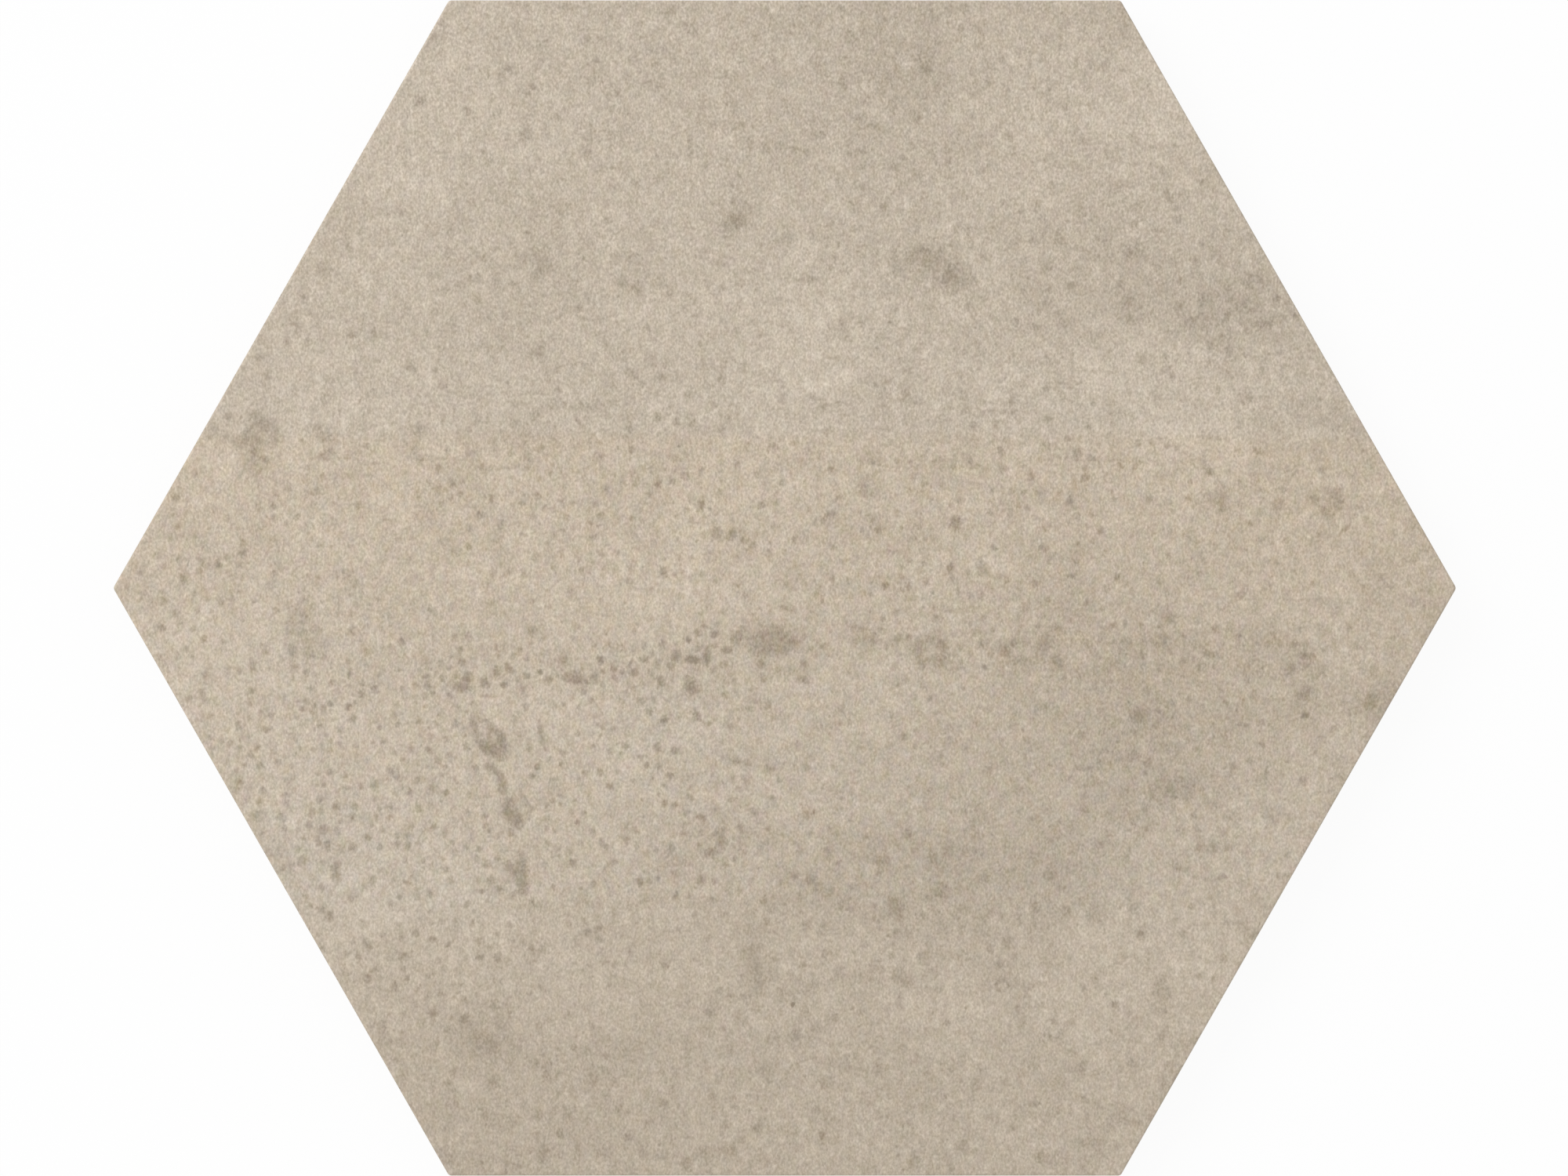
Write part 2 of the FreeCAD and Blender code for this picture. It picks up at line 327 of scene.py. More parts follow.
bold_specks = [
    # left of the middle, along the dark line and under it
    (-52.7, -3.2, 0.55), (-57.0, -8.0, 0.5), (-31.9, -0.4, 0.55), (-48.3, -9.2, 0.4),
    (-21.0, -8.6, 0.45), (-18.1, -8.4, 0.55), (-14.4, -7.7, 0.45), (-10.4, -6.8, 0.5),
    (-53.3, -11.0, 0.4, 0.8), (-53.4, -13.2, 0.4), (-53.2, -14.5, 0.45), (-48.0, -11.1, 0.5),
    (-47.2, -13.2, 0.6, 0.9), (-48.2, -14.7, 1.2, 0.8), (-44.7, -14.0, 0.65, 0.85),
    (-42.9, -12.4, 0.5), (-41.0, -11.8, 0.5, 0.8, 30), (-38.4, -13.1, 0.5), (-13.1, -6.6, 0.45),
    (-47.4, -23.6, 0.45),
    (-35.2, -13.5, 0.8, 0.4), (-32.9, -10.6, 0.5), (-31.4, -13.4, 1.2, 0.8), (-32.6, -13.3, 0.5),
    (-28.4, -13.5, 0.6), (-29.4, -13.9, 0.4), (-24.1, -12.6, 0.45), (-22.4, -12.5, 0.55),
    (-22.9, -11.2, 0.25, 0.7), (-19.0, -11.2, 0.45, 0.6), (-16.1, -10.2, 0.7, 0.8),
    (-13.8, -10.7, 1.3, 0.6), (-10.4, -8.6, 0.6, 0.4),
    (-34.3, -17.6, 0.4), (-11.6, -20.3, 0.6, 0.5), (-49.0, -20.1, 0.45, 0.6),
    (-53.0, -24.1, 0.45), (-51.7, -25.7, 0.45), (-36.2, -22.2, 0.4, 0.75), (-23.7, -23.4, 0.45),
    (-20.6, -26.4, 0.4), (-17.0, -28.0, 0.45, 0.55),
    (-36.8, -26.6, 0.4), (-26.0, -29.5, 0.5), (-20.9, -10.6, 0.8, 0.55), (-19.8, -9.9, 0.5),
    # lower left
    (-50.4, -30.4, 0.4), (-30.8, -34.8, 0.35), (-32.2, -39.2, 0.45), (-26.6, -38.6, 0.55),
    (-23.6, -37.4, 0.45), (-17.9, -32.0, 0.4), (-12.5, -34.1, 0.8, 0.45), (-11.0, -39.4, 1.0, 0.7),
    (-44.5, -41.0, 0.45), (-31.6, -40.9, 0.7, 0.6), (-25.6, -40.8, 0.8, 0.35),
    (-45.1, -45.1, 0.8, 0.4), (-56.2, -43.9, 0.6, 0.35), (-52.8, -45.5, 0.5), (-47.2, -47.0, 0.4),
    (-28.4, -44.1, 0.5), (-20.1, -43.6, 0.45), (-19.0, -43.3, 0.4), (-12.6, -43.6, 0.65),
    (-46.5, -49.9, 0.4), (-29.4, -51.3, 0.5), (-27.5, -52.3, 0.5), (-27.6, -50.7, 0.5),
    (-52.3, -52.3, 0.7, 0.45), (-56.6, -54.8, 0.8, 0.6), (-45.4, -55.0, 0.5), (-42.7, -55.0, 0.6),
    (-56.2, -58.1, 0.4), (-58.0, -59.2, 0.55), (-17.8, -56.2, 0.5),
    (-66.7, -32.6, 0.5), (-68.0, -38.3, 0.45, 0.8), (-64.3, -38.6, 0.5), (-66.8, -41.5, 0.6, 1.0),
    (-66.7, -42.8, 0.6), (-69.0, -44.6, 0.4), (-69.0, -47.9, 0.55), (-67.8, -48.8, 0.5),
    (-62.1, -37.1, 0.45), (-62.1, -58.1, 0.45), (-11.2, -63.3, 0.9, 0.6), (-26.6, -69.6, 0.5),
    (-18.0, -76.7, 0.6),
    # left corner
    (-84.3, 3.5, 0.5), (-89.4, 1.2, 0.5, 0.8), (-75.9, 2.2, 0.45), (-90.6, -3.9, 0.5),
    (-92.7, -6.0, 0.65, 0.5), (-79.2, -11.6, 0.6), (-72.9, -11.8, 0.5), (-61.0, -15.1, 0.5, 0.7),
    (-64.7, -12.6, 0.45, 0.6), (-65.0, -17.6, 0.4), (-64.4, -19.5, 0.75, 0.5, 30),
    (-77.0, -21.0, 0.7, 0.45), (-67.7, -27.5, 0.5), (-65.4, -27.8, 0.4, 0.6), (-77.5, -30.1, 0.45),
    (-86.8, -15.6, 0.45), (-79.2, -15.3, 0.45), (-81.4, -20.4, 0.4, 0.6), (-85.5, -22.3, 0.6, 0.4),
    (-78.5, -23.7, 0.4), (-69.2, -31.4, 0.4), (-61.0, -29.1, 0.6),
    # upper left
    (-82.8, 25.4, 0.65, 0.55), (-69.5, 24.0, 0.55), (-68.6, 22.5, 0.75), (-67.8, 20.1, 0.5),
    (-71.7, 21.8, 0.4, 0.6), (-77.0, 31.4, 0.45), (-54.3, 19.0, 0.5), (-51.6, 17.7, 0.5),
    (-51.6, 14.7, 0.5), (-63.5, 12.4, 0.5), (-76.0, 12.1, 0.5, 0.6), (-72.6, 10.7, 0.45),
    (-90.5, 13.4, 0.45), (-90.3, 9.2, 0.45), (-80.6, 6.9, 0.5, 0.7), (-80.7, 5.3, 0.5),
    (-45.1, 18.1, 0.45), (-70.9, 36.7, 0.55), (-56.0, 32.8, 0.8, 0.35), (-47.2, 71.0, 0.5),
    # middle
    (-43.6, 13.2, 0.45, 0.65), (-36.5, 20.8, 0.55), (-27.7, 19.3, 0.6), (-22.8, 20.6, 0.45),
    (-24.1, 15.9, 0.45), (-26.7, 14.9, 0.5), (-20.1, 14.0, 0.5), (-14.9, 16.7, 0.5),
    (-3.5, 12.4, 0.45), (-10.1, 8.2, 0.8, 1.0), (-4.6, 6.3, 0.5),
    (-27.3, 5.2, 0.5), (-1.8, 21.1, 0.5), (-47.1, 6.2, 0.4), (-30.2, 2.7, 0.4), (-38.8, 1.9, 0.45),
    (-10.5, 27.3, 0.45), (-18.8, 25.3, 0.45), (-26.7, 28.9, 0.5), (-0.2, -2.9, 0.45),
    (-7.2, -7.4, 0.75), (-11.6, -10.9, 0.5), (-9.1, -11.4, 0.5),
    (-3.5, -11.2, 0.45), (-3.2, -13.6, 0.5), (2.9, -11.2, 0.5), (8.4, -18.1, 0.6),
    (15.9, -18.8, 0.5), (17.4, -22.2, 0.55), (1.9, -23.3, 0.5),
    (-2.2, -27.1, 0.55), (22.5, -4.5, 0.5), (16.8, -7.6, 0.8, 0.6),
    (29.7, -11.7, 0.6, 0.4, -30), (37.7, -5.7, 0.4),
    # upper middle
    (-26.3, 54.7, 0.5), (-22.1, 44.8, 0.7), (-30.7, 41.7, 0.5), (8.4, 39.6, 0.5),
    (-33.6, 32.6, 0.5), (-33.8, 29.5, 0.45), (-22.5, 60.3, 0.45), (-36.8, 35.2, 0.7),
    (18.4, 32.3, 0.5), (14.6, 56.8, 0.5), (29.6, 49.2, 0.35, 0.5),
    # right of the middle
    (33.8, 27.9, 0.4, 0.8), (39.3, 25.3, 0.5), (32.1, 20.5, 0.4, 0.6), (43.5, 20.0, 0.55),
    (45.6, 19.3, 0.45), (49.9, 18.2, 0.5), (36.7, 16.7, 0.5, 0.7), (20.6, 15.8, 0.5),
    (6.9, 17.6, 0.45), (42.6, 12.9, 0.55), (30.6, 11.1, 0.45),
    (47.1, 8.4, 0.5), (31.0, 6.0, 0.6, 0.4), (38.5, 6.0, 0.55),
    (29.6, 2.8, 0.8), (11.9, 14.9, 1.0), (42.6, 1.8, 0.7, 0.5), (37.2, 0.8, 0.5), (49.3, 1.5, 0.5),
    (15.0, 0.3, 0.5), (18.4, 0.3, 0.5), (25.2, 18.1, 0.4), (52.6, 21.5, 0.45), (54.4, 21.8, 0.5),
    (69.2, 9.6, 0.45), (62.3, 4.3, 0.45), (39.0, 29.6, 0.5),
    # right corner
    (45.0, -2.2, 0.45), (48.9, -5.6, 0.5), (57.4, -4.5, 0.7), (64.0, -6.0, 0.45),
    (73.6, -8.3, 0.45), (75.8, -8.5, 0.6, 0.4), (84.1, -6.0, 0.4), (77.1, -28.7, 0.55),
    (71.1, -23.3, 0.4, 0.6), (44.1, -22.0, 0.55),
    # upper right
    (70.7, 46.0, 0.7, 0.5, -30), (69.2, 45.1, 0.45, 0.7), (73.2, 43.2, 0.6), (69.9, 41.2, 0.5),
    (61.1, 40.1, 0.9, 0.4), (62.2, 38.8, 0.5), (65.9, 40.4, 0.6), (66.1, 35.2, 0.6, 0.8),
    (64.7, 29.3, 0.45, 0.6), (75.9, 40.6, 0.5), (51.3, 50.0, 0.45), (51.6, 39.9, 1.3, 0.6),
    # bottom
    (3.8, -43.4, 0.7, 1.0), (20.6, -48.7, 0.6, 0.4), (58.5, -41.6, 0.8, 0.45),
    (65.2, -43.1, 0.7, 0.4), (63.9, -58.2, 0.45, 0.65), (60.5, -47.4, 0.45), (49.1, -62.0, 0.45),
    (52.8, -51.5, 0.5), (7.4, -64.0, 0.5), (1.6, -66.5, 0.7), (24.1, -64.7, 0.5, 0.35),
]
soft_specks = [
    # left of the middle, along the dark line and under it
    (-58.9, -4.3, 0.5, 0.3), (-58.8, -8.7, 0.4), (-37.6, -6.2, 0.6), (-31.4, -7.5, 0.8, 0.35),
    (-19.9, -4.5, 0.4), (-16.6, -2.5, 0.4), (-12.5, -3.6, 0.35), (-26.7, -6.8, 0.35),
    (-42.9, -8.7, 0.35), (-39.4, -9.2, 0.35), (-26.2, -8.5, 0.4), (-22.5, -9.1, 0.45),
    (-52.9, -12.0, 0.4), (-55.0, -14.5, 0.4), (-56.9, -15.0, 0.35),
    (-52.3, -15.7, 0.35), (-49.9, -15.9, 0.35), (-49.9, -11.8, 0.35), (-51.0, -13.4, 0.4),
    (-49.2, -13.3, 0.4), (-38.3, -10.5, 0.4), (-33.9, -13.0, 0.35), (-27.1, -12.4, 0.35),
    (-25.5, -12.0, 0.4), (-25.3, -13.4, 0.35),
    (-17.0, -11.7, 0.5), (-12.8, -9.0, 0.7, 0.4), (-22.5, -14.9, 0.35), (-27.1, -14.3, 0.3),
    (-30.0, -15.5, 0.4), (-31.6, -16.3, 0.4), (-38.6, -17.7, 0.4), (-46.4, -17.1, 0.4),
    (-17.6, -16.7, 0.4), (-28.7, -16.8, 0.35), (-17.2, -19.1, 0.4), (-15.7, -19.4, 0.35),
    (-54.5, -20.1, 0.4), (-50.4, -22.4, 0.4), (-55.7, -24.0, 0.4),
    (-36.2, -20.9, 0.2, 0.5), (-35.6, -24.0, 0.3, 0.45), (-38.0, -23.8, 0.4), (-28.4, -23.6, 0.4),
    (-18.5, -26.7, 0.4), (-33.3, -26.2, 0.3), (-27.5, -27.4, 0.4), (-29.7, -27.5, 0.35),
    (-57.5, -28.1, 0.5), (-46.0, -26.8, 0.35),
    # lower left
    (-34.5, -31.6, 0.4), (-42.7, -37.0, 0.4), (-44.5, -35.4, 0.4), (-44.0, -36.0, 0.3),
    (-45.5, -38.9, 0.4), (-52.2, -35.5, 0.45), (-54.3, -32.8, 0.5), (-56.2, -36.9, 0.4, 0.6),
    (-57.6, -36.9, 0.4), (-57.7, -38.0, 0.5), (-58.0, -30.7, 0.35), (-55.7, -30.4, 0.4),
    (-29.8, -33.6, 0.4), (-35.4, -35.8, 0.4), (-34.2, -36.3, 0.3), (-35.2, -37.9, 0.4),
    (-33.6, -39.9, 0.3), (-28.6, -36.2, 0.4), (-27.3, -37.7, 0.4), (-23.6, -35.5, 0.4),
    (-22.2, -36.0, 0.45), (-16.4, -32.2, 0.4), (-14.7, -33.4, 0.4), (-15.1, -35.2, 0.4),
    (-15.0, -36.4, 0.4), (-16.9, -38.5, 0.5), (-18.0, -37.9, 0.3), (-22.1, -38.5, 0.4),
    (-42.8, -40.2, 0.4), (-45.9, -40.1, 0.35), (-35.7, -41.1, 0.45), (-43.7, -43.5, 0.5),
    (-45.7, -43.4, 0.4), (-53.5, -43.7, 0.35), (-57.3, -45.9, 0.35), (-56.9, -47.8, 0.4),
    (-16.3, -42.5, 0.6, 0.5), (-10.4, -43.6, 0.4), (-14.4, -46.0, 0.4), (-40.5, -45.7, 0.4),
    (-37.7, -46.6, 0.35), (-32.3, -48.5, 0.45), (-32.2, -50.0, 0.35), (-41.0, -50.1, 0.35),
    (-54.9, -51.3, 0.4), (-50.1, -53.0, 0.4), (-45.6, -52.6, 0.4), (-42.8, -51.6, 0.4),
    (-58.7, -55.2, 0.4), (-44.0, -53.8, 0.35), (-36.2, -54.0, 0.5), (-39.0, -52.6, 0.4),
    (-48.3, -57.0, 0.55), (-15.5, -56.1, 0.35), (-30.1, -57.1, 0.4),
    (-78.6, -33.8, 0.7), (-74.8, -34.2, 0.5), (-74.3, -35.8, 0.4), (-64.3, -34.0, 0.4),
    (-68.7, -36.0, 0.9, 0.7), (-69.4, -37.7, 0.4, 0.8), (-71.6, -37.3, 0.4), (-72.4, -38.7, 0.4),
    (-70.8, -35.2, 0.4), (-60.2, -38.5, 0.4), (-71.9, -40.6, 0.6), (-61.4, -43.4, 0.45),
    (-62.5, -44.3, 0.5), (-70.6, -47.2, 0.4), (-61.9, -53.0, 0.6), (-63.3, -54.8, 0.4),
    (-65.4, -54.5, 0.4), (-61.1, -56.8, 0.5), (-65.4, -57.3, 0.5), (-59.8, -51.6, 0.4),
    (-57.0, -52.0, 0.4), (-51.3, -60.3, 0.5), (-47.7, -61.4, 0.5), (-54.8, -60.2, 0.4),
    (-43.3, -62.1, 0.6), (-47.8, -64.1, 0.5), (-52.2, -63.1, 0.6), (-59.8, -64.9, 0.6),
    (-69.0, -53.5, 0.5), (-35.2, -72.3, 0.6), (-33.8, -72.3, 0.4, 0.7), (-28.5, -73.5, 0.8),
    (-25.3, -73.5, 0.5), (-20.1, -79.5, 0.5, 0.9), (-36.8, -78.5, 0.6), (-32.0, -78.8, 0.5),
    (-33.5, -81.2, 0.5), (-26.6, -84.0, 0.8), (-17.7, -84.6, 1.5, 0.6), (-21.0, -84.0, 0.8),
    (-14.5, -85.8, 0.8), (-23.4, -81.7, 0.5), (-48.9, -76.7, 0.4), (-50.4, -73.8, 0.5),
    (-2.4, -67.2, 0.4), (-1.3, -67.0, 0.4), (-8.1, -60.5, 0.4), (-36.5, -65.5, 0.8),
    (-8.3, -83.7, 1.0), (-11.9, -84.0, 1.0), (-4.2, -80.2, 0.8),
    # left corner
    (-75.0, 3.0, 0.4), (-97.9, 0.3, 0.4), (-95.7, 2.2, 0.4), (-93.5, 4.7, 0.6), (-92.4, 3.2, 0.4),
    (-95.6, -1.0, 0.5), (-92.4, -1.9, 0.5), (-90.3, -4.6, 0.3), (-88.1, -6.1, 0.4),
    (-86.4, -7.7, 0.4), (-85.9, -1.7, 0.4), (-81.1, -12.2, 0.4), (-71.2, -12.6, 0.4),
    (-88.7, -16.4, 0.4), (-70.6, -15.0, 0.4), (-67.4, -14.2, 0.4), (-62.9, -14.2, 0.4),
    (-63.0, -15.8, 0.5), (-68.6, -10.4, 0.4), (-62.2, -9.6, 0.5), (-67.6, -17.2, 0.4),
    (-68.7, -17.9, 0.4), (-71.8, -18.0, 0.4), (-76.5, -18.9, 0.4), (-78.0, -18.5, 0.4),
    (-85.1, -23.7, 0.4), (-82.5, -23.1, 0.4), (-76.2, -24.4, 0.4), (-83.0, -25.9, 0.4),
    (-78.1, -26.5, 0.4), (-66.4, -23.2, 0.4), (-74.2, -28.8, 0.4), (-65.1, -29.7, 0.35),
    (-68.5, -29.2, 0.35), (-78.2, -31.8, 0.45), (-81.4, -30.1, 0.4), (-74.2, -32.1, 0.4),
    (-68.9, -33.2, 0.4), (-64.1, -32.4, 0.5), (-63.1, -29.4, 0.4), (-69.5, -27.6, 0.35),
    # upper left
    (-83.2, 22.6, 0.4), (-65.0, 19.4, 0.4), (-81.2, 30.2, 0.35), (-70.2, 26.7, 0.4, 0.5),
    (-68.5, 27.6, 0.4), (-48.1, 15.8, 0.3), (-69.6, 14.5, 0.45), (-89.2, 13.0, 0.35),
    (-82.9, 10.3, 0.4), (-74.0, 9.7, 0.35), (-77.1, 5.5, 0.4), (-45.4, 10.8, 0.5),
    (-46.8, 20.1, 0.5), (-62.1, 28.9, 0.35), (-61.2, 29.3, 0.4), (-53.2, 28.7, 0.35),
    (-55.5, 27.0, 0.4), (-54.3, 24.1, 0.5), (-78.2, 34.4, 0.5), (-74.1, 36.6, 0.35, 0.8),
    (-54.9, 32.3, 0.3), (-45.7, 42.9, 0.45), (-45.7, 46.3, 0.5), (-52.8, 46.3, 0.5),
    (-42.6, 35.5, 0.45), (-43.8, 38.2, 0.9, 0.5), (-61.0, 37.8, 0.4), (-38.6, 31.2, 0.4),
    (-37.8, 58.1, 0.5), (-63.3, 52.9, 0.4), (-56.5, 53.3, 0.4), (-49.0, 57.2, 0.4),
    (-40.5, 45.1, 0.5), (-56.2, 41.9, 0.4), (-68.6, 47.7, 1.0), (-73.1, 39.3, 0.8),
    (-40.4, 76.7, 0.3), (-38.2, 73.6, 0.35), (-47.2, 79.2, 0.4, 0.6), (-36.2, 78.5, 0.45),
    (-35.5, 81.4, 0.4), (-38.7, 67.7, 1.0), (-38.8, 66.6, 0.4), (-14.2, 70.9, 0.4),
    (-14.0, 66.5, 0.4, 0.7), (-29.3, 64.6, 0.5), (-36.8, 64.0, 0.4), (-25.8, 71.3, 0.5),
    (-28.0, 78.6, 0.4), (-44.1, 63.3, 0.5), (-56.5, 63.1, 0.4), (-18.3, 76.0, 0.4),
    (-18.4, 74.8, 0.4), (-21.5, 84.1, 0.4), (-17.1, 85.9, 1.2, 0.6), (-52.2, 82.1, 0.6),
    (-38.1, 87.0, 0.6, 0.3), (-32.8, 86.8, 0.5), (-33.9, 63.4, 0.6, 0.3),
    # middle
    (-42.3, 9.5, 0.5), (-38.1, 19.4, 0.5), (-40.1, 24.7, 0.6), (-36.9, 26.0, 0.7),
    (-30.5, 24.5, 0.4, 0.8), (-43.2, 22.1, 0.35, 0.5), (-27.6, 21.6, 0.35), (-24.8, 20.8, 0.35),
    (-23.1, 24.0, 0.5), (-16.9, 15.9, 0.45), (-14.6, 11.5, 0.4), (-12.4, 17.4, 0.35, 0.6),
    (-14.6, 19.9, 0.4), (-16.2, 10.8, 0.4), (-22.6, 10.4, 0.4), (-27.3, 10.8, 0.45),
    (-28.2, 12.4, 0.35), (-31.7, 12.7, 0.4), (-39.0, 12.6, 0.35), (-20.0, 3.8, 0.45),
    (-28.6, 7.6, 0.8, 0.5), (-33.1, 5.0, 0.3, 0.6), (-34.3, 7.9, 0.4), (-39.1, 0.2, 0.5),
    (-23.5, 1.1, 0.35, 0.6), (-0.4, 22.4, 0.4), (-6.9, 18.4, 0.5), (-4.1, 17.0, 0.4),
    (-0.5, 15.9, 0.4), (-9.7, 14.2, 0.4), (-16.1, 24.6, 0.5), (-14.3, 28.9, 0.5),
    (-31.1, 29.2, 0.45), (-33.6, 29.5, 0.5), (-32.8, 27.0, 0.4), (-9.4, 23.7, 0.5),
    (-13.6, 24.7, 0.4), (-9.2, -3.5, 0.4), (-2.2, -3.8, 0.35), (-10.0, -5.4, 0.4),
    (-6.3, -6.0, 0.4), (-10.7, -6.9, 0.4), (-0.8, -12.0, 0.4), (3.8, -9.0, 0.4), (6.0, -8.6, 0.4),
    (4.7, -10.0, 0.35), (-8.9, -15.9, 0.4), (-1.6, -19.1, 0.5), (11.8, -21.7, 0.4),
    (15.6, -23.3, 0.4), (19.4, -23.5, 0.4), (19.5, -21.3, 0.4), (-5.6, -26.1, 0.5),
    (-0.9, -28.6, 0.4), (-7.6, -28.3, 0.4), (7.0, -15.0, 0.4), (9.6, -20.0, 0.4),
    (18.2, -13.7, 0.4), (20.3, -14.4, 0.4), (21.6, -16.5, 0.4), (18.4, -7.3, 0.4),
    (14.6, -4.5, 0.4), (16.5, -3.6, 0.4), (15.2, -8.8, 0.3, 0.5), (26.3, -11.1, 0.35),
    (29.2, -8.3, 0.4, 0.6), (27.7, -9.9, 0.4), (26.1, -8.8, 0.4), (29.6, -4.4, 0.45),
    (30.9, -6.1, 0.4),
    # upper middle
    (-24.3, 45.4, 0.8), (-17.0, 43.8, 0.5), (-14.4, 43.6, 0.8, 0.4), (-14.9, 41.7, 1.3, 0.5),
    (-9.1, 44.5, 0.6), (-3.7, 37.8, 0.5), (-6.9, 38.3, 0.5), (-22.8, 31.8, 0.7),
    (-29.8, 33.0, 0.4), (-20.3, 38.7, 0.45), (-26.2, 40.3, 0.4), (-7.8, 59.8, 0.4),
    (-12.6, 36.2, 0.4), (0.7, 51.8, 0.8), (-3.7, 51.1, 0.5), (-9.4, 31.1, 0.7),
    (40.7, 51.9, 0.7), (39.3, 44.5, 0.5), (38.5, 41.7, 0.8), (51.0, 42.5, 0.8),
    (11.5, 59.5, 0.5), (27.2, 53.3, 0.4, 0.8), (25.5, 53.5, 0.45), (28.7, 36.2, 0.5),
    (19.2, 33.9, 0.4), (17.0, 33.9, 0.4), (13.4, 30.2, 0.4), (17.9, 28.9, 0.5),
    (32.0, 30.8, 0.35), (38.5, 53.0, 0.5), (36.9, 51.8, 0.5), (44.2, 56.3, 0.6),
    (38.9, 47.9, 0.7), (35.6, 48.6, 0.4, 0.6), (43.4, 47.4, 0.7), (43.0, 45.2, 1.2, 0.5),
    (40.8, 40.9, 0.4), (50.0, 45.1, 0.6), (43.7, 35.9, 0.4), (37.4, 38.7, 0.6),
    (41.5, 39.3, 0.8), (24.9, 57.6, 0.4), (47.2, 51.8, 0.9, 0.5), (11.8, 50.9, 0.4),
    (21.8, 44.5, 0.5), (27.2, 41.9, 0.5), (1.4, 65.3, 0.5), (21.7, 78.6, 0.5),
    (30.3, 75.1, 0.5), (34.3, 64.2, 0.6), (33.7, 77.4, 0.5), (8.7, 75.1, 0.6),
    (22.5, 74.7, 0.6, 0.9), (19.8, 78.8, 0.5), (11.4, 83.1, 0.5), (8.4, 86.3, 0.5),
    (14.7, 84.6, 0.4), (26.7, 86.2, 0.6), (11.4, 64.9, 0.8, 0.4), (11.6, 62.7, 0.4),
    (9.2, 64.5, 0.5), (27.9, 73.2, 0.45), (26.0, 67.4, 0.5), (31.5, 68.3, 0.4),
    (33.1, 67.4, 0.5), (-8.5, 63.9, 0.4), (-7.8, 60.1, 0.4), (4.4, 67.5, 0.4),
    (5.7, 67.4, 0.4), (-7.5, 72.0, 0.4), (11.1, 70.0, 0.5), (13.1, 68.8, 1.2, 0.5),
    (24.2, 65.2, 0.5), (24.4, 63.7, 0.4), (-2.8, 65.6, 0.6), (-6.3, 69.1, 0.4),
    (29.2, 80.5, 0.5),
    # right of the middle
    (33.5, 29.5, 0.35, 0.6), (34.1, 26.3, 0.4), (38.8, 29.6, 0.5), (26.6, 26.3, 0.4),
    (28.0, 24.1, 0.5), (45.2, 24.0, 0.4, 0.6), (48.5, 26.1, 0.5), (46.0, 27.4, 0.4),
    (42.0, 22.2, 0.5), (39.2, 21.1, 0.45), (48.7, 19.0, 0.6, 0.4), (27.5, 18.9, 0.45),
    (32.5, 17.7, 0.45), (44.7, 16.4, 0.5), (5.2, 19.9, 0.4), (6.3, 23.2, 0.4), (13.0, 18.9, 0.5),
    (30.9, 14.5, 0.4), (37.9, 14.3, 0.6), (3.6, 11.7, 0.35), (27.4, 8.5, 0.4),
    (12.8, 8.9, 0.3), (43.4, 10.8, 0.4), (45.6, 10.8, 0.4), (45.1, 9.1, 0.4), (19.5, 7.2, 0.45),
    (20.8, 7.3, 0.35), (27.0, 7.5, 0.4), (7.1, 6.2, 0.5), (40.4, 5.0, 0.4), (13.8, 3.7, 0.4),
    (27.3, 2.5, 0.4), (29.2, 4.1, 0.35, 0.6), (7.1, 1.5, 0.4), (21.0, 0.9, 0.5), (43.3, 3.9, 0.4),
    (53.4, 26.5, 0.6), (56.9, 21.3, 0.4), (58.4, 20.7, 0.35), (52.3, 18.0, 0.5),
    (62.4, 18.2, 0.5), (60.3, 16.0, 0.4, 0.6), (70.3, 20.5, 0.4), (64.0, 13.4, 0.8),
    (65.3, 13.4, 0.7), (65.2, 11.8, 0.5), (57.0, 12.8, 0.5), (73.3, 12.2, 0.8), (55.7, 3.6, 0.5),
    (61.7, 2.1, 0.4), (75.8, 0.0, 0.4), (78.7, 0.6, 0.4), (86.4, 0.0, 0.5), (89.0, 1.6, 0.5),
    (84.5, 23.3, 0.4), (68.2, 28.0, 0.8),
    # right corner
    (47.2, -3.1, 0.35), (42.5, -4.8, 0.4), (40.7, -6.1, 0.6), (39.2, -1.8, 0.4),
    (50.7, -7.9, 0.6), (55.8, -5.5, 0.4), (56.2, -8.2, 1.0), (65.8, -6.3, 0.45), (67.7, -7.0, 0.4),
    (65.0, -3.2, 0.6, 0.3), (67.6, -1.0, 1.0, 0.5), (72.8, -1.0, 0.4), (72.8, -6.9, 0.4),
    (72.1, -8.3, 0.35), (77.5, -11.7, 0.4), (80.3, -9.0, 0.4), (80.3, -12.0, 0.4),
    (85.0, -8.7, 0.45), (66.9, -26.5, 0.5), (70.8, -20.1, 0.4), (57.1, -17.6, 0.4),
    (42.8, -24.9, 0.35), (49.7, -22.7, 0.35), (54.0, -26.2, 0.6), (52.6, -19.0, 1.0),
    (54.6, -30.8, 0.6), (44.6, -31.0, 0.45), (44.9, -33.0, 0.5), (72.3, -34.7, 0.8),
    (60.7, -34.0, 0.5), (66.4, -34.1, 0.8), (63.4, -9.9, 1.2, 0.6), (68.6, -13.4, 0.4, 1.0),
    (69.6, -15.9, 0.6), (65.6, -17.2, 0.4, 0.7), (83.2, -22.2, 0.35), (75.2, -12.2, 0.8),
    (87.6, -12.5, 0.8), (80.4, -25.4, 0.4), (82.6, -28.0, 0.6),
    # upper right
    (69.3, 46.4, 0.35), (68.3, 42.2, 0.45), (67.6, 41.5, 0.4), (66.1, 44.2, 0.5, 0.7),
    (66.3, 42.9, 0.5), (62.7, 40.1, 0.4), (62.4, 43.3, 0.8), (61.8, 42.3, 0.4), (65.5, 37.2, 0.5),
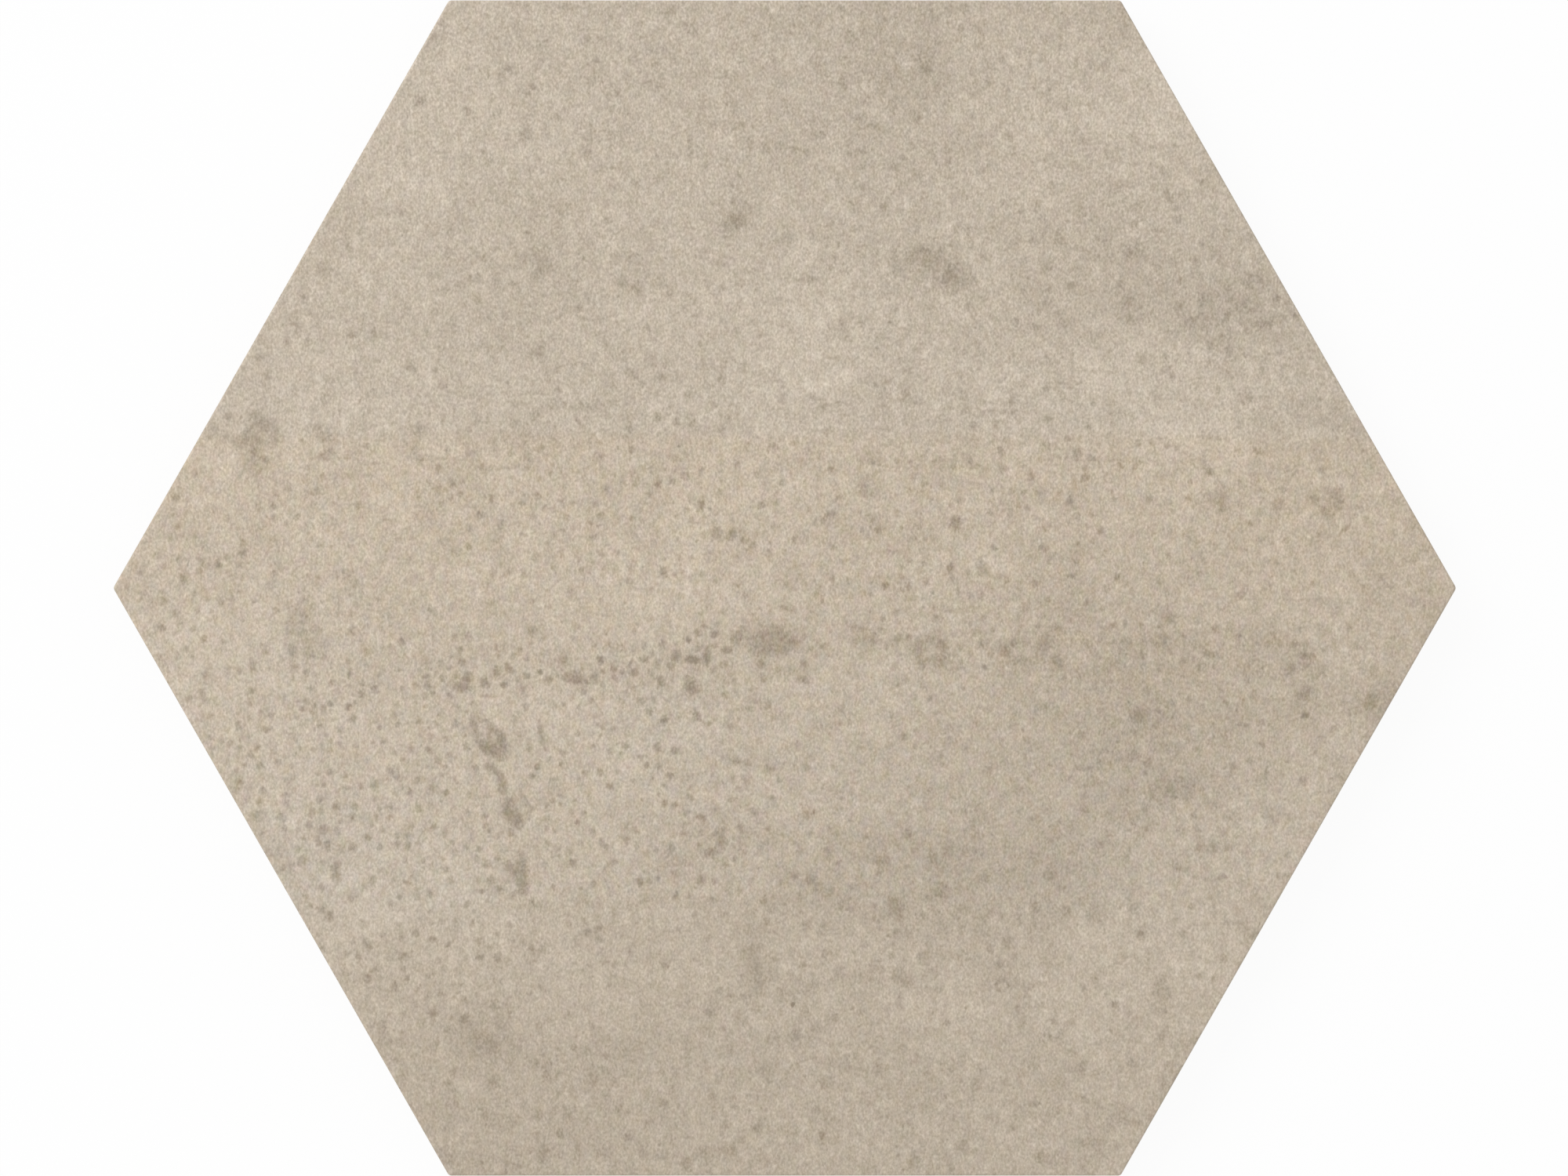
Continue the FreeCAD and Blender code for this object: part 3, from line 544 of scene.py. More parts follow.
    (67.2, 34.0, 0.4), (67.9, 35.8, 0.4), (68.4, 34.6, 0.35), (63.3, 36.2, 0.5), (71.1, 34.0, 0.8),
    (71.4, 32.6, 1.0, 0.6), (73.1, 37.2, 0.4, 0.7), (71.3, 39.3, 1.5, 0.8), (58.6, 42.0, 0.4),
    (60.9, 48.7, 0.4), (62.0, 51.2, 0.4), (65.4, 52.2, 0.5), (69.5, 52.5, 0.4), (56.8, 58.9, 0.4),
    (57.1, 57.8, 0.5), (58.6, 56.5, 0.45), (58.6, 55.0, 0.5), (62.1, 60.4, 0.5), (64.0, 56.6, 0.4),
    (55.4, 47.7, 0.5), (56.2, 32.3, 0.4), (57.7, 31.4, 0.5), (53.3, 33.9, 0.6), (56.7, 34.4, 0.4),
    (55.7, 53.2, 1.3, 0.4), (52.1, 54.3, 0.5),
    # bottom
    (-6.6, -35.6, 0.5, 0.7), (-2.5, -35.8, 0.5), (3.8, -33.4, 0.9, 0.6), (3.8, -36.5, 0.4),
    (-8.9, -41.2, 0.6), (29.6, -49.3, 0.5), (-4.4, -33.3, 0.6), (-1.9, -31.3, 0.45),
    (-8.2, -31.5, 0.4), (6.4, -39.0, 0.5), (6.5, -39.9, 0.5), (8.2, -40.9, 0.45), (2.3, -39.0, 0.4),
    (-7.5, -40.4, 0.4), (-5.0, -43.5, 0.5), (-9.5, -38.1, 0.7), (4.6, -44.8, 0.5),
    (1.4, -42.8, 0.5), (-0.6, -43.8, 0.4), (6.7, -45.4, 0.6), (8.4, -47.4, 0.5), (-3.1, -46.6, 0.5),
    (-10.7, -46.3, 0.4), (13.7, -40.6, 0.6), (14.0, -42.2, 0.5), (15.3, -40.6, 0.6),
    (18.4, -36.9, 0.7), (12.1, -36.9, 0.4), (22.2, -40.3, 0.8), (24.5, -39.0, 0.8),
    (29.5, -43.2, 0.8), (23.2, -45.1, 1.0), (21.4, -46.1, 0.5), (16.6, -47.7, 1.2),
    (26.3, -47.7, 0.6), (37.4, -48.0, 0.8), (30.6, -53.7, 0.5), (13.5, -56.2, 0.8),
    (17.5, -57.9, 1.2), (6.1, -54.3, 0.5), (3.2, -49.9, 0.5), (3.8, -59.4, 0.8), (-8.2, -60.4, 0.4),
    (-11.4, -52.1, 0.4), (-2.7, -49.6, 0.5), (22.5, -57.1, 0.5), (25.7, -54.9, 0.5),
    (32.1, -56.0, 0.5), (61.6, -57.8, 0.4), (58.3, -49.4, 0.4), (62.6, -50.2, 0.5),
    (59.1, -51.5, 0.5), (48.1, -36.7, 0.45), (42.4, -35.8, 0.5), (47.0, -38.0, 0.5),
    (61.4, -38.7, 0.5), (65.8, -38.6, 0.6), (63.9, -38.4, 0.7), (39.1, -42.9, 0.7),
    (44.2, -46.7, 0.6), (51.9, -47.5, 0.9, 0.5), (42.0, -48.2, 0.7), (69.3, -52.6, 0.9),
    (65.3, -54.9, 0.5), (56.0, -60.0, 1.0), (54.1, -56.9, 0.4), (74.7, -42.9, 0.5),
    (44.1, -71.3, 0.6), (33.6, -80.5, 0.5), (42.5, -64.7, 0.6), (40.0, -64.7, 0.4, 0.8),
    (14.0, -72.3, 0.5), (5.8, -73.5, 0.7), (9.3, -76.3, 0.5), (33.0, -73.4, 0.7),
    (36.9, -76.9, 0.9, 0.5), (28.3, -73.8, 0.8), (12.7, -86.4, 0.9), (19.4, -85.2, 1.0),
    (18.4, -79.5, 0.4), (38.0, -84.6, 0.5), (49.3, -83.0, 0.6), (28.3, -84.0, 0.5),
    (24.7, -86.1, 0.5), (5.5, -81.4, 0.4),
]

# Drawn lines: their levels, half their thickness, and the points that they run through
drawn_lines = [
    # a tilted oval ring, with a squiggle and blots under it
    (-27, 0.55, [(-46.3, -19.4), (-46.1, -21.0), (-45.7, -22.5), (-44.7, -23.7)]),
    (-21, 0.4, [(-46.2, -19.3), (-44.7, -19.7), (-43.4, -20.7)]),
    (-29, 0.65, [(-43.5, -20.9), (-42.5, -21.8), (-41.9, -23.1), (-41.8, -24.0)]),
    (-16, 0.35, [(-44.0, -21.2), (-43.9, -22.4), (-43.3, -23.5)]),
    (-30, 0.9, [(-44.4, -23.8), (-43.1, -24.2), (-42.4, -24.8)]),
    (-28, 0.55, [(-44.3, -26.5), (-43.3, -26.9), (-42.4, -27.9)]),
    (-29, 0.7, [(-42.4, -27.9), (-41.9, -28.9), (-42.1, -30.1)]),
    (-30, 0.7, [(-41.4, -31.9), (-41.1, -33.2), (-40.8, -34.4)]),
    (-20, 0.5, [(-40.4, -31.2), (-40.5, -32.5), (-40.1, -33.2)]),
    (-31, 0.95, [(-40.8, -33.5), (-40.2, -34.1), (-39.9, -34.8)]),
    (-19, 0.5, [(-40.7, -36.2), (-40.5, -36.8)]),
    (-18, 0.4, [(-39.4, -30.3), (-38.5, -31.7), (-37.9, -32.9), (-37.4, -33.0)]),
    (-16, 0.4, [(-37.9, -33.1), (-38.3, -34.3)]),
    (-28, 0.75, [(-41.0, -41.3), (-40.2, -42.0), (-39.6, -42.9)]),
    (-30, 0.95, [(-39.3, -40.5), (-39.1, -41.7), (-39.2, -42.9), (-39.1, -44.6)]),
    (-26, 0.45, [(-36.4, -20.6), (-36.3, -21.8), (-35.9, -23.2)]),
    # thin arcs and twin strokes to the left
    (-12, 0.22, [(-74.3, -21.4), (-73.1, -22.1), (-72.4, -23.3), (-71.9, -24.1)]),
    (-12, 0.18, [(-67.2, 24.7), (-67.2, 27.3)]),
    (-12, 0.18, [(-66.3, 25.2), (-66.3, 27.8)]),
    # streaks to the right and at the bottom
    (-12, 0.5, [(44.3, -7.7), (46.2, -9.5)]),
    (-12, 0.25, [(80.2, -12.2), (78.9, -13.6)]),
    (-9, 0.7, [(-3.5, -53.3), (-5.0, -54.1), (-6.0, -54.9)]),
    (-10, 0.7, [(-4.3, -55.9), (-3.8, -58.5), (-3.5, -59.7)]),
    (-13, 0.3, [(-32.6, -73.9), (-33.8, -75.7)]),
    # one crisp black dot at the bottom
    (-62, 0.24, [(1.15, -62.1), (1.3, -61.9)]),
    # two dashes in the pale cloud at the top
    (-14, 0.35, [(-1.3, 43.0), (-0.6, 43.0)]),
    (-12, 0.35, [(0.6, 42.6), (1.4, 42.6)]),
]

# Thin level lines that come and go: levels, half their thickness, y, and where they start and end
score_lines = [
    (-7, 0.2, -1.8, 66, 97),
    (-7, 0.2, -8.5, -69.5, -65),
    (-4, 0.2, -8.5, 62, 90),
    (-11, 0.22, 32.2, 38, 49),
    (-4, 0.2, -41.4, -41, 0),
]

# Where faint small specks crowd: x, y, half width, half height, and the chance that one is there
speck_crowds = [
    (-60, -28, 26, 20, 0.55),
    (-35, -28, 22, 16, 0.5),
    (-52, -50, 18, 12, 0.4),
    (-45, -14, 12, 3.5, 0.6),
    (-24, -12.5, 12, 3.0, 0.6),
    (-6, -8.5, 10, 3.5, 0.45),
    (25, -3, 20, 8, 0.45),
    (-80, -5, 16, 16, 0.3),
    (-30, 12, 45, 12, 0.3),
    (35, 18, 25, 12, 0.3),
    (-10, -35, 16, 10, 0.35),
    (60, -20, 25, 20, 0.12),
    (20, -55, 40, 14, 0.08),
]


def corners_of(inset):
    """The hexagon's sharp corners, anticlockwise from the right, with every side moved in."""
    flat_y = half_flats - inset
    corner_x = (slope_distance - inset) / slope_normal[0]
    flat_end = (slope_distance - inset - slope_normal[1] * flat_y) / slope_normal[0]
    right = [(corner_x, 0), (flat_end, flat_y), (-flat_end, flat_y)]
    return np.array(right + [(-x, -y) for x, y in right])


def side_ring(inset, radius, count):
    """Points round the outline, count to a side. Each corner is eased to the given radius."""
    corners = corners_of(inset)
    ring = []
    for corner, after, before in zip(corners, np.roll(corners, -1, 0), np.roll(corners, 1, 0)):
        length = np.linalg.norm(after - corner)
        onward = (after - corner) / length
        back = (before - corner) / np.linalg.norm(before - corner)
        half_angle = math.acos(np.dot(onward, back)) / 2
        inward = (onward + back) / np.linalg.norm(onward + back)
        ring.append(corner + inward * radius * (1 / math.sin(half_angle) - 1))
        tangent = radius / math.tan(half_angle)
        for step in np.linspace(tangent, length - tangent, count - 1):
            ring.append(corner + onward * step)
    return np.array(ring)


def lattice_ring(number):
    """Ring number of the face's lattice, which has number points to a side."""
    edge = corners_of(arris_radius) * number / face_rings
    share = np.arange(number)[:, None] / number
    sides = [a + (b - a) * share for a, b in zip(edge, np.roll(edge, -1, 0))]
    return np.concatenate(sides)


def drift(x, y, size, seed):
    """Smooth random humps about size apart, from -1 to 1."""
    cells = 96
    heights = np.random.default_rng(seed).uniform(-1, 1, (cells, cells))
    u, v = x / size + cells / 2, y / size + cells / 2
    column, row = np.floor(u).astype(int), np.floor(v).astype(int)
    across, up = u - column, v - row
    across, up = across**2 * (3 - 2 * across), up**2 * (3 - 2 * up)
    corner = [heights[(row + r) % cells, (column + c) % cells] for r in (0, 1) for c in (0, 1)]
    low = corner[0] + (corner[1] - corner[0]) * across
    high = corner[2] + (corner[3] - corner[2]) * across
    return low + (high - low) * up


def humps(x, y, marks, sharpness=1.0):
    """The sum of soft elliptical marks at each point."""
    total = np.zeros_like(x)
    for mark_x, mark_y, wide, high, level in marks:
        reach = ((x - mark_x) / wide) ** 2 + ((y - mark_y) / high) ** 2
        total += level * np.exp(-0.7 * reach**sharpness)
    return total


def warped(x, y, size, amount, seed):
    """Places shifted at random, so that what is drawn at them loses its plain shape."""
    return x + amount * drift(x, y, size, seed), y + amount * drift(x, y, size, seed + 1)


def print_tone(x, y):
    """How much lighter or darker than its mean the face is, in levels of 255."""
    soft_x, soft_y = warped(*warped(x, y, 9.0, 2.0, 11), 3.5, 1.0, 13)
    near_x, near_y = warped(x, y, 1.6, 0.35, 17)
    tone = humps(soft_x, soft_y, clouds) + humps(x, y, broad_drifts)
    tone += humps(near_x, near_y, soft_stains, sharpness=1.6)
    # Bands along X, as a trowel leaves them
    tone += 1.3 * drift(x, y * 9, 34.0, 19) + 0.9 * drift(x, y * 14, 22.0, 21)
    return tone


def print_warmth(x, y):
    """How warm the print is: its red less its blue, over 20, in levels of 255."""
    # Above the band the print is cool. Below its top edge it is warm, and cools again downwards.
    band_top, edge_width = 22.7, 1.6
    cool, heights, warm = 11.6, (-29.0, -17.5, -5.8, band_top), (0.9, 1.5, 2.5, 4.0)
    inside = np.clip((band_top + 0.4 * drift(x, y, 12.0, 31) - y) / edge_width + 0.5, 0, 1)
    warmth = cool + inside * np.interp(y, heights, warm)
    cool_and_warm = [
        (78, 9, 16, 9, 1.2),
        (-58, 13, 6, 6, 1.0),
        (-14, 8, 5, 7, 0.8),
        (-18, -19, 5, 3, -2.0),
        (-72, -8, 6, 8, -1.4),
        (-55, -44, 12, 5, -2.4),
        (-70, -38, 8, 5, -2.0),
        (45, -44, 8, 4, -1.6),
        (-40, -30, 12, 9, 0.8),
        (60, -14, 25, 10, 0.6),
    ]
    warmth += humps(*warped(x, y, 8.0, 2.0, 33), cool_and_warm)
    return warmth + 0.5 * drift(x, y, 7.0, 35)


def ink_wander(x, y):
    """How far the inks' hue wanders: twice as far between the band's top and the lower third."""
    top, bottom, edge_width = 24.0, -49.0, 4.0
    uneven = y + 0.8 * drift(x, y, 12.0, 37)
    inside = np.clip((top - uneven) / edge_width, 0, 1) * np.clip((uneven - bottom) / edge_width, 0, 1)
    calm = 0.3 * np.clip((x + y * -0.6 - 30) / 50, 0, 1)
    return 1 + 0.85 * inside * (1 - calm)


def grain_strength(x, y):
    """How strong the finest grain is: it fades from the top to the middle of the print."""
    return np.interp(y, (-70, 0, 60), (0.82, 0.88, 1.0))


def crowding(x, y):
    """The chance that a faint speck lies at each place."""
    most = np.zeros_like(x)
    moved_x, moved_y = warped(x, y, 7.0, 2.5, 41)
    for crowd in speck_crowds:
        most = np.maximum(most, humps(moved_x, moved_y, [crowd]))
    return np.clip(most * (1 + 0.35 * drift(x, y, 5.0, 43)) + 0.065, 0, 1)


def boldness(x, y):
    """How strongly specks show: most where they crowd, least at the top and the bottom."""
    return 0.6 + 0.95 * crowding(x, y)


def spot(random, level, x, y, wide, high=None, lean=None):
    """One mark: its place, half width, half height, lean in radians, and level. What isn't given
    is round, but for chance."""
    if high is None:
        high = wide * random.uniform(1.05, 1.4)
        wide = wide * random.uniform(0.95, 1.25)
    if lean is None:
        lean = random.uniform(-30, 30) if wide < 1 else 0
    return (x, y, wide, high, math.radians(lean), level * random.uniform(0.86, 1.14))


def stroke(level, half_thick, points):
    """A drawn line, as one long mark for each of its spans."""
    marks = []
    for (x, y), (next_x, next_y) in zip(points, points[1:]):
        half_long = math.hypot(next_x - x, next_y - y) / 2 + half_thick
        lean = math.atan2(next_y - y, next_x - x)
        marks.append(((x + next_x) / 2, (y + next_y) / 2, half_long, half_thick, lean, level))
    return marks


def score_line(random, level, half_thick, y, start, end):
    """A thin level line, in strokes of uneven length and strength."""
    marks = []
    x = start
    while x < end:
        after = min(x + random.uniform(1.5, 5.0), end)
        ends = [(place, y + random.uniform(-0.12, 0.12)) for place in (x, after)]
        marks += stroke(level * random.uniform(0.5, 1.3), half_thick, ends)
        x = after + random.uniform(0.0, 1.4)
    return marks


def trowel_dashes(random):
    """Short faint level strokes, which lie closest across the middle."""
    count, marks = 150, []
    for _ in range(count):
        x, y = random.uniform(-75, 75), random.normal(8, 26)
        half_long = random.uniform(0.8, 2.6)
        ends = [(x - half_long, y), (x + half_long, y + random.uniform(-0.2, 0.2))]
        marks += stroke(random.uniform(-10, -5), random.uniform(0.25, 0.42), ends)
    return marks


def faint_specks(random, marks):
    """Small specks strewn at random where the print is crowded, clear of the other marks."""
    tries, clearance = 17000, 0.35
    x = random.uniform(-half_corners, half_corners, tries)
    y = random.uniform(-half_flats, half_flats, tries)
    taken = random.uniform(0, 1, tries) < crowding(x, y)
    inside = slope_normal[0] * np.abs(x) + slope_normal[1] * np.abs(y) < slope_distance - 1
    places = [mark[:2] for mark in marks]
    sizes = [max(mark[2:4]) for mark in marks]
    for spot_x, spot_y in zip(x[taken & inside], y[taken & inside]):
        wide = random.uniform(0.26, 0.48)
        gaps = np.hypot(*(np.array(places) - (spot_x, spot_y)).T) - np.array(sizes)
        if gaps.min() > wide + clearance:
            level = random.uniform(-21, -10) * boldness(spot_x, spot_y)
            marks.append(spot(random, level, spot_x, spot_y, wide))
            places.append((spot_x, spot_y))
            sizes.append(wide)
    return marks


def print_marks():
    """All the marks of the print, one to a row."""
    random = np.random.default_rng(61)
    ring_x, ring_y, ring_radius, ring_spans = 32.3, -59.2, 0.9, 8
    turns = np.linspace(0, 2 * math.pi, ring_spans + 1)
    small_ring = [
        (ring_x + ring_radius * math.cos(turn), ring_y + ring_radius * math.sin(turn))
        for turn in turns
    ]
    marks = stroke(-15, 0.22, small_ring)
    for level, half_thick, points in drawn_lines:
        marks += stroke(level, half_thick, points)
    for line in score_lines:
        marks += score_line(random, *line)
    for level, group in (
        (-21, stain_cores),
        (-12, stain_patches),
    ):
        marks += [spot(random, level, *place) for place in group]
    for level, group in ((-39, darkest_specks), (-27, bold_specks), (-21, soft_specks)):
        marks += [spot(random, level * boldness(*place[:2]), *place) for place in group]
    marks = faint_specks(random, marks)
    return np.array(marks + trowel_dashes(random))


def in_half_sizes(x, y, mark):
    """Where places lie in a mark's own frame, in its half sizes."""
    mark_x, mark_y, wide, high, lean = np.moveaxis(mark, -1, 0)[:5]
    off_x, off_y = x - mark_x, y - mark_y
    along = (off_x * np.cos(lean) + off_y * np.sin(lean)) / wide
    across = (off_y * np.cos(lean) - off_x * np.sin(lean)) / high
    return along, across


def nearest_marks(x, y, marks):
    """For each place, the rows of the marks whose edges lie nearest, and -1 where there is none."""
    furthest = 2.0
    order = np.argsort(y)
    heights = y[order]
    gaps = np.full((marks_per_triangle, len(x)), furthest)
    rows = np.full((marks_per_triangle, len(x)), -1)
    for row, mark in enumerate(marks):
        reach = max(mark[2:4]) + furthest
        low, high = np.searchsorted(heights, (mark[1] - reach, mark[1] + reach))
        near = order[low:high]
        share = np.maximum(np.hypot(*in_half_sizes(x[near], y[near], mark)), 1e-6)
        gap = np.hypot(x[near] - mark[0], y[near] - mark[1]) * (1 - 1 / share)
        loser = np.full(len(near), row)
        for rank in range(marks_per_triangle):
            wins = gap < gaps[rank, near]
            held_gap, held = gaps[rank, near], rows[rank, near]
            gaps[rank, near], rows[rank, near] = np.where(wins, (gap, loser), (held_gap, held))
            gap, loser = np.where(wins, held_gap, gap), np.where(wins, held, loser)
    return rows


def face_relief(x, y):
    """Height of the glaze's surface below the face's plane, in millimetres, never above it."""
    swell = 0.022 * (drift(x, y * 2.2, 9.0, 51) - 1)
    ripple = 0.012 * (drift(x, y, 2.4, 53) - 1) + 0.006 * (drift(x, y, 1.2, 55) - 1)
    inset = np.minimum(
        half_flats - np.abs(y),
        slope_distance - slope_normal[0] * np.abs(x) - slope_normal[1] * np.abs(y),
    )
    return (swell + ripple) * np.clip((inset - arris_radius) / 1.5, 0, 1)


def edge_relief(x, y, z):
    """How far the pressed edge stands back at a height, in millimetres, never less than none."""
    along = np.arctan2(y, x) * half_corners
    swell = 0.028 * (1 - drift(along, 3 * z, 6.0, 57))
    return swell + 0.012 * (1 - drift(along, 2 * z, 1.8, 59))


def face_points():
    """The lattice's points from the middle outwards, and its triangles."""
    rings = [np.zeros((1, 2))] + [lattice_ring(number) for number in range(1, face_rings)]
    rings.append(side_ring(arris_radius, corner_radius - arris_radius, face_rings))
    starts = np.cumsum([0] + [len(ring) for ring in rings])
    faces = []
    for number in range(1, face_rings + 1):
        outer, inner = starts[number], starts[number - 1]
        outer_count, inner_count = 6 * number, max(6 * (number - 1), 1)
        for side in range(6):
            for step in range(number):
                here = side * number + step
                inside = side * (number - 1) + step
                corner = inner + inside % inner_count
                faces.append((outer + here, outer + (here + 1) % outer_count, corner))
                if step < number - 1:
                    beyond = inner + (inside + 1) % inner_count
                    faces.append((outer + (here + 1) % outer_count, beyond, corner))
    return np.concatenate(rings), faces, starts[face_rings]


def pocket_ring(across, z):
    """A hexagon about the Z axis, across its flats, with points that face +Y and -Y."""
    turns = math.radians(30) + np.arange(6) * math.radians(60)
    reach = across / math.sqrt(3)
    return np.column_stack([reach * np.cos(turns), reach * np.sin(turns), np.full(6, z)])


def pocket_places():
    """Middles of the pockets that leave the rim plain."""
    row_step = pocket_pitch * math.sqrt(3) / 2
    mouth = pocket_ring(pocket_mouth, 0)[:, :2]
    places = []
    for row in range(-9, 10):
        for column in range(-10, 10):
            middle = np.array([(column + (row % 2) / 2) * pocket_pitch, row * row_step])
            reach = np.abs(middle + mouth)
            flats = half_flats - reach[:, 1].max()
            slopes = slope_distance - (reach @ np.array(slope_normal)).max()
            if min(flats, slopes) >= pocket_rim_margin:
                places.append(middle)
    return places


def tile_mesh():
    """The whole tile as one closed mesh, with its face's triangles first."""
    flat, faces, first_of_edge = face_points()
    relief = face_relief(flat[:, 0], flat[:, 1])
    points = [(x, y, thickness + z) for (x, y), z in zip(flat, relief)]
    triangles = np.array(faces)
    slots = [0] * len(faces)
    around = 6 * face_rings
    ring = list(range(first_of_edge, first_of_edge + around))

    def band(outline, z, slot):
        """Carries the last ring on to a new one, and returns the new one."""
        start = len(points)
        points.extend((x, y, z) for x, y in outline)
        for i in range(around):
            j = (i + 1) % around
            faces.append((ring[i], start + i, start + j, ring[j]))
            slots.append(slot)
        return list(range(start, start + around))

    for angle in np.linspace(0, math.pi / 2, arris_steps + 1)[1:]:
        inset = arris_radius * (1 - math.sin(angle))
        z = thickness - arris_radius * (1 - math.cos(angle))
        ring = band(side_ring(inset, corner_radius - inset, face_rings), z, 0)
    upright = side_ring(0, corner_radius, face_rings)
    for z in np.linspace(thickness - arris_radius, back_bevel, edge_rows + 1)[1:]:
        set_back = edge_relief(upright[:, 0], upright[:, 1], z)
        inward = 1 - set_back / np.hypot(*upright.T)
        ring = band(upright * inward[:, None], z, 1)
    foot_ring = side_ring(back_bevel, 0.05, face_rings)
    ring = band(foot_ring, 0.0, 2)

    # The back's plane round the pockets, and then each pocket's lip, walls and floor
    places = pocket_places()
    lip = pocket_ring(pocket_mouth + 2 * pocket_lip, 0.0)
    wall_in = 2 * pocket_depth * math.tan(pocket_draft)
    levels = [
        pocket_ring(pocket_mouth - 2 * pocket_lip * math.tan(pocket_draft), pocket_lip),
        pocket_ring(pocket_mouth - wall_in + 2 * pocket_lip, pocket_depth - pocket_lip),
        pocket_ring(pocket_mouth - wall_in - 2 * pocket_lip, pocket_depth),
    ]
    plane = [Vector(point) for point in foot_ring]
    loops = [list(range(around))]
    for place in places:
        loops.append(list(range(len(plane), len(plane) + 6)))
        plane.extend(Vector(corner[:2] + place) for corner in lip)
    made, _, filled, _, _, _ = delaunay_2d_cdt(plane, [], loops, 2, 1e-6)
    mouths = {i for loop in loops[1:] for i in loop}
    number_of = dict(enumerate(ring))
    for i in range(around, len(made)):
        number_of[i] = len(points)
        points.append((made[i].x, made[i].y, 0.0))
    for triangle in filled:
        inside_mouth = mouths.issuperset(triangle) and is_one_pocket(triangle, around)
        if not inside_mouth:
            faces.append(tuple(number_of[i] for i in reversed(triangle)))
            slots.append(2)
    for index, place in enumerate(places):
        last = [number_of[around + 6 * index + i] for i in range(6)]
        for level in levels:
            start = len(points)
            points.extend((x + place[0], y + place[1], z) for x, y, z in level)
            for i in range(6):
                j = (i + 1) % 6
                faces.append((last[i], last[j], start + j, start + i))
                slots.append(2)
            last = list(range(start, start + 6))
        faces.append(tuple(last))
        slots.append(2)
    return points, faces, slots, triangles


def is_one_pocket(triangle, around):
    """Whether a triangle's corners all belong to one pocket's mouth."""
    return len({(i - around) // 6 for i in triangle}) == 1


def add_marks(mesh, x, y, triangles):
    """Gives each triangle of the face its nearest marks. At a corner, a mark's first two numbers
    say where the corner lies in the mark's own half sizes, and the third is the mark's level."""
    marks = print_marks()
    far_off = (0.0, 0.0, 1.0, 1.0, 0.0, 0.0)
    rows = nearest_marks(x[triangles].mean(1), y[triangles].mean(1), marks)
    marks = np.vstack([marks, far_off])
    for rank in range(marks_per_triangle):
        values = np.full((len(mesh.loops), 3), (9.0, 9.0, 0.0))
        chosen = np.repeat(marks[rows[rank]], 3, axis=0)
        corners = triangles.ravel()
        along, across = in_half_sizes(x[corners], y[corners], chosen)
        values[: len(corners)] = np.column_stack([along, across, chosen[:, 5]])
        layer = mesh.attributes.new(f"mark_{rank}", "FLOAT_VECTOR", "CORNER")
        layer.data.foreach_set("vector", values.ravel().astype(np.float32))


def dressed_tile():
    """The tile's object, with what the print needs at each point and corner of its mesh."""
    points, faces, slots, triangles = tile_mesh()
    mesh = bpy.data.meshes.new("glazed_hexagon_tile")
    mesh.from_pydata([tuple(value * MM for value in point) for point in points], [], faces)
    mesh.update()
    mesh.polygons.foreach_set("material_index", slots)
    mesh.shade_smooth()
    mesh.set_sharp_from_angle(angle=math.radians(28))
    x, y = np.array([point[:2] for point in points]).T
    for name, values in (
        ("tone", print_tone(x, y)),
        ("warmth", print_warmth(x, y)),
        ("ink_wander", ink_wander(x, y)),
        ("grain_strength", grain_strength(x, y)),
    ):
        layer = mesh.attributes.new(name, "FLOAT", "POINT")
        layer.data.foreach_set("value", values.astype(np.float32))
    add_marks(mesh, x, y, triangles)
    tile = bpy.data.objects.new("glazed_hexagon_tile", mesh)
    bpy.context.scene.collection.objects.link(tile)
    return tile


def linear(hex_colour):
    """An sRGB hex colour as linear red, green, blue and alpha."""
    parts = [int(hex_colour[i : i + 2], 16) / 255 for i in (1, 3, 5)]
    return [p / 12.92 if p <= 0.04045 else ((p + 0.055) / 1.055) ** 2.4 for p in parts] + [1.0]


def add(tree, kind, inputs=(), **settings):
    """Adds a node with its settings. Inputs go by position or name: each is a value, a socket,
    or a node, which stands for its first output in use."""
    node = tree.nodes.new(kind)
    for name, value in settings.items():
        setattr(node, name, value)
    named = inputs.items() if isinstance(inputs, dict) else enumerate(inputs)
    for key, value in named:
        if isinstance(key, str):
            socket = next(s for s in node.inputs if s.enabled and s.name == key)
        else:
            socket = node.inputs[key]
        if isinstance(value, bpy.types.Node):
            value = next(s for s in value.outputs if s.enabled)
        if isinstance(value, bpy.types.NodeSocket):
            tree.links.new(value, socket)
        else:
            socket.default_value = value
    return node


def new_material(name):
    """An empty node material and its tree."""
    material = bpy.data.materials.new(name)
    material.use_nodes = True
    material.node_tree.nodes.clear()
    return material, material.node_tree


def ramp(tree, factor, stops):
    """A colour ramp through sRGB hex colours at the given places."""
    node = add(tree, "ShaderNodeValToRGB", [factor])
    elements = node.color_ramp.elements
    while len(elements) < len(stops):
        elements.new(0.5)
    for element, (place, colour) in zip(elements, stops):
        element.position = place
        element.color = linear(colour)
    return node


def per_mm(size):
    """A pattern's scale, in object space, for a period of size millimetres."""
    return 1 / (size * MM)


def noise(tree, place, period, detail, rough):
    """Noise with a period in millimetres."""
    settings = {"Vector": place, "Scale": per_mm(period), "Detail": detail, "Roughness": rough}
    return add(tree, "ShaderNodeTexNoise", settings)


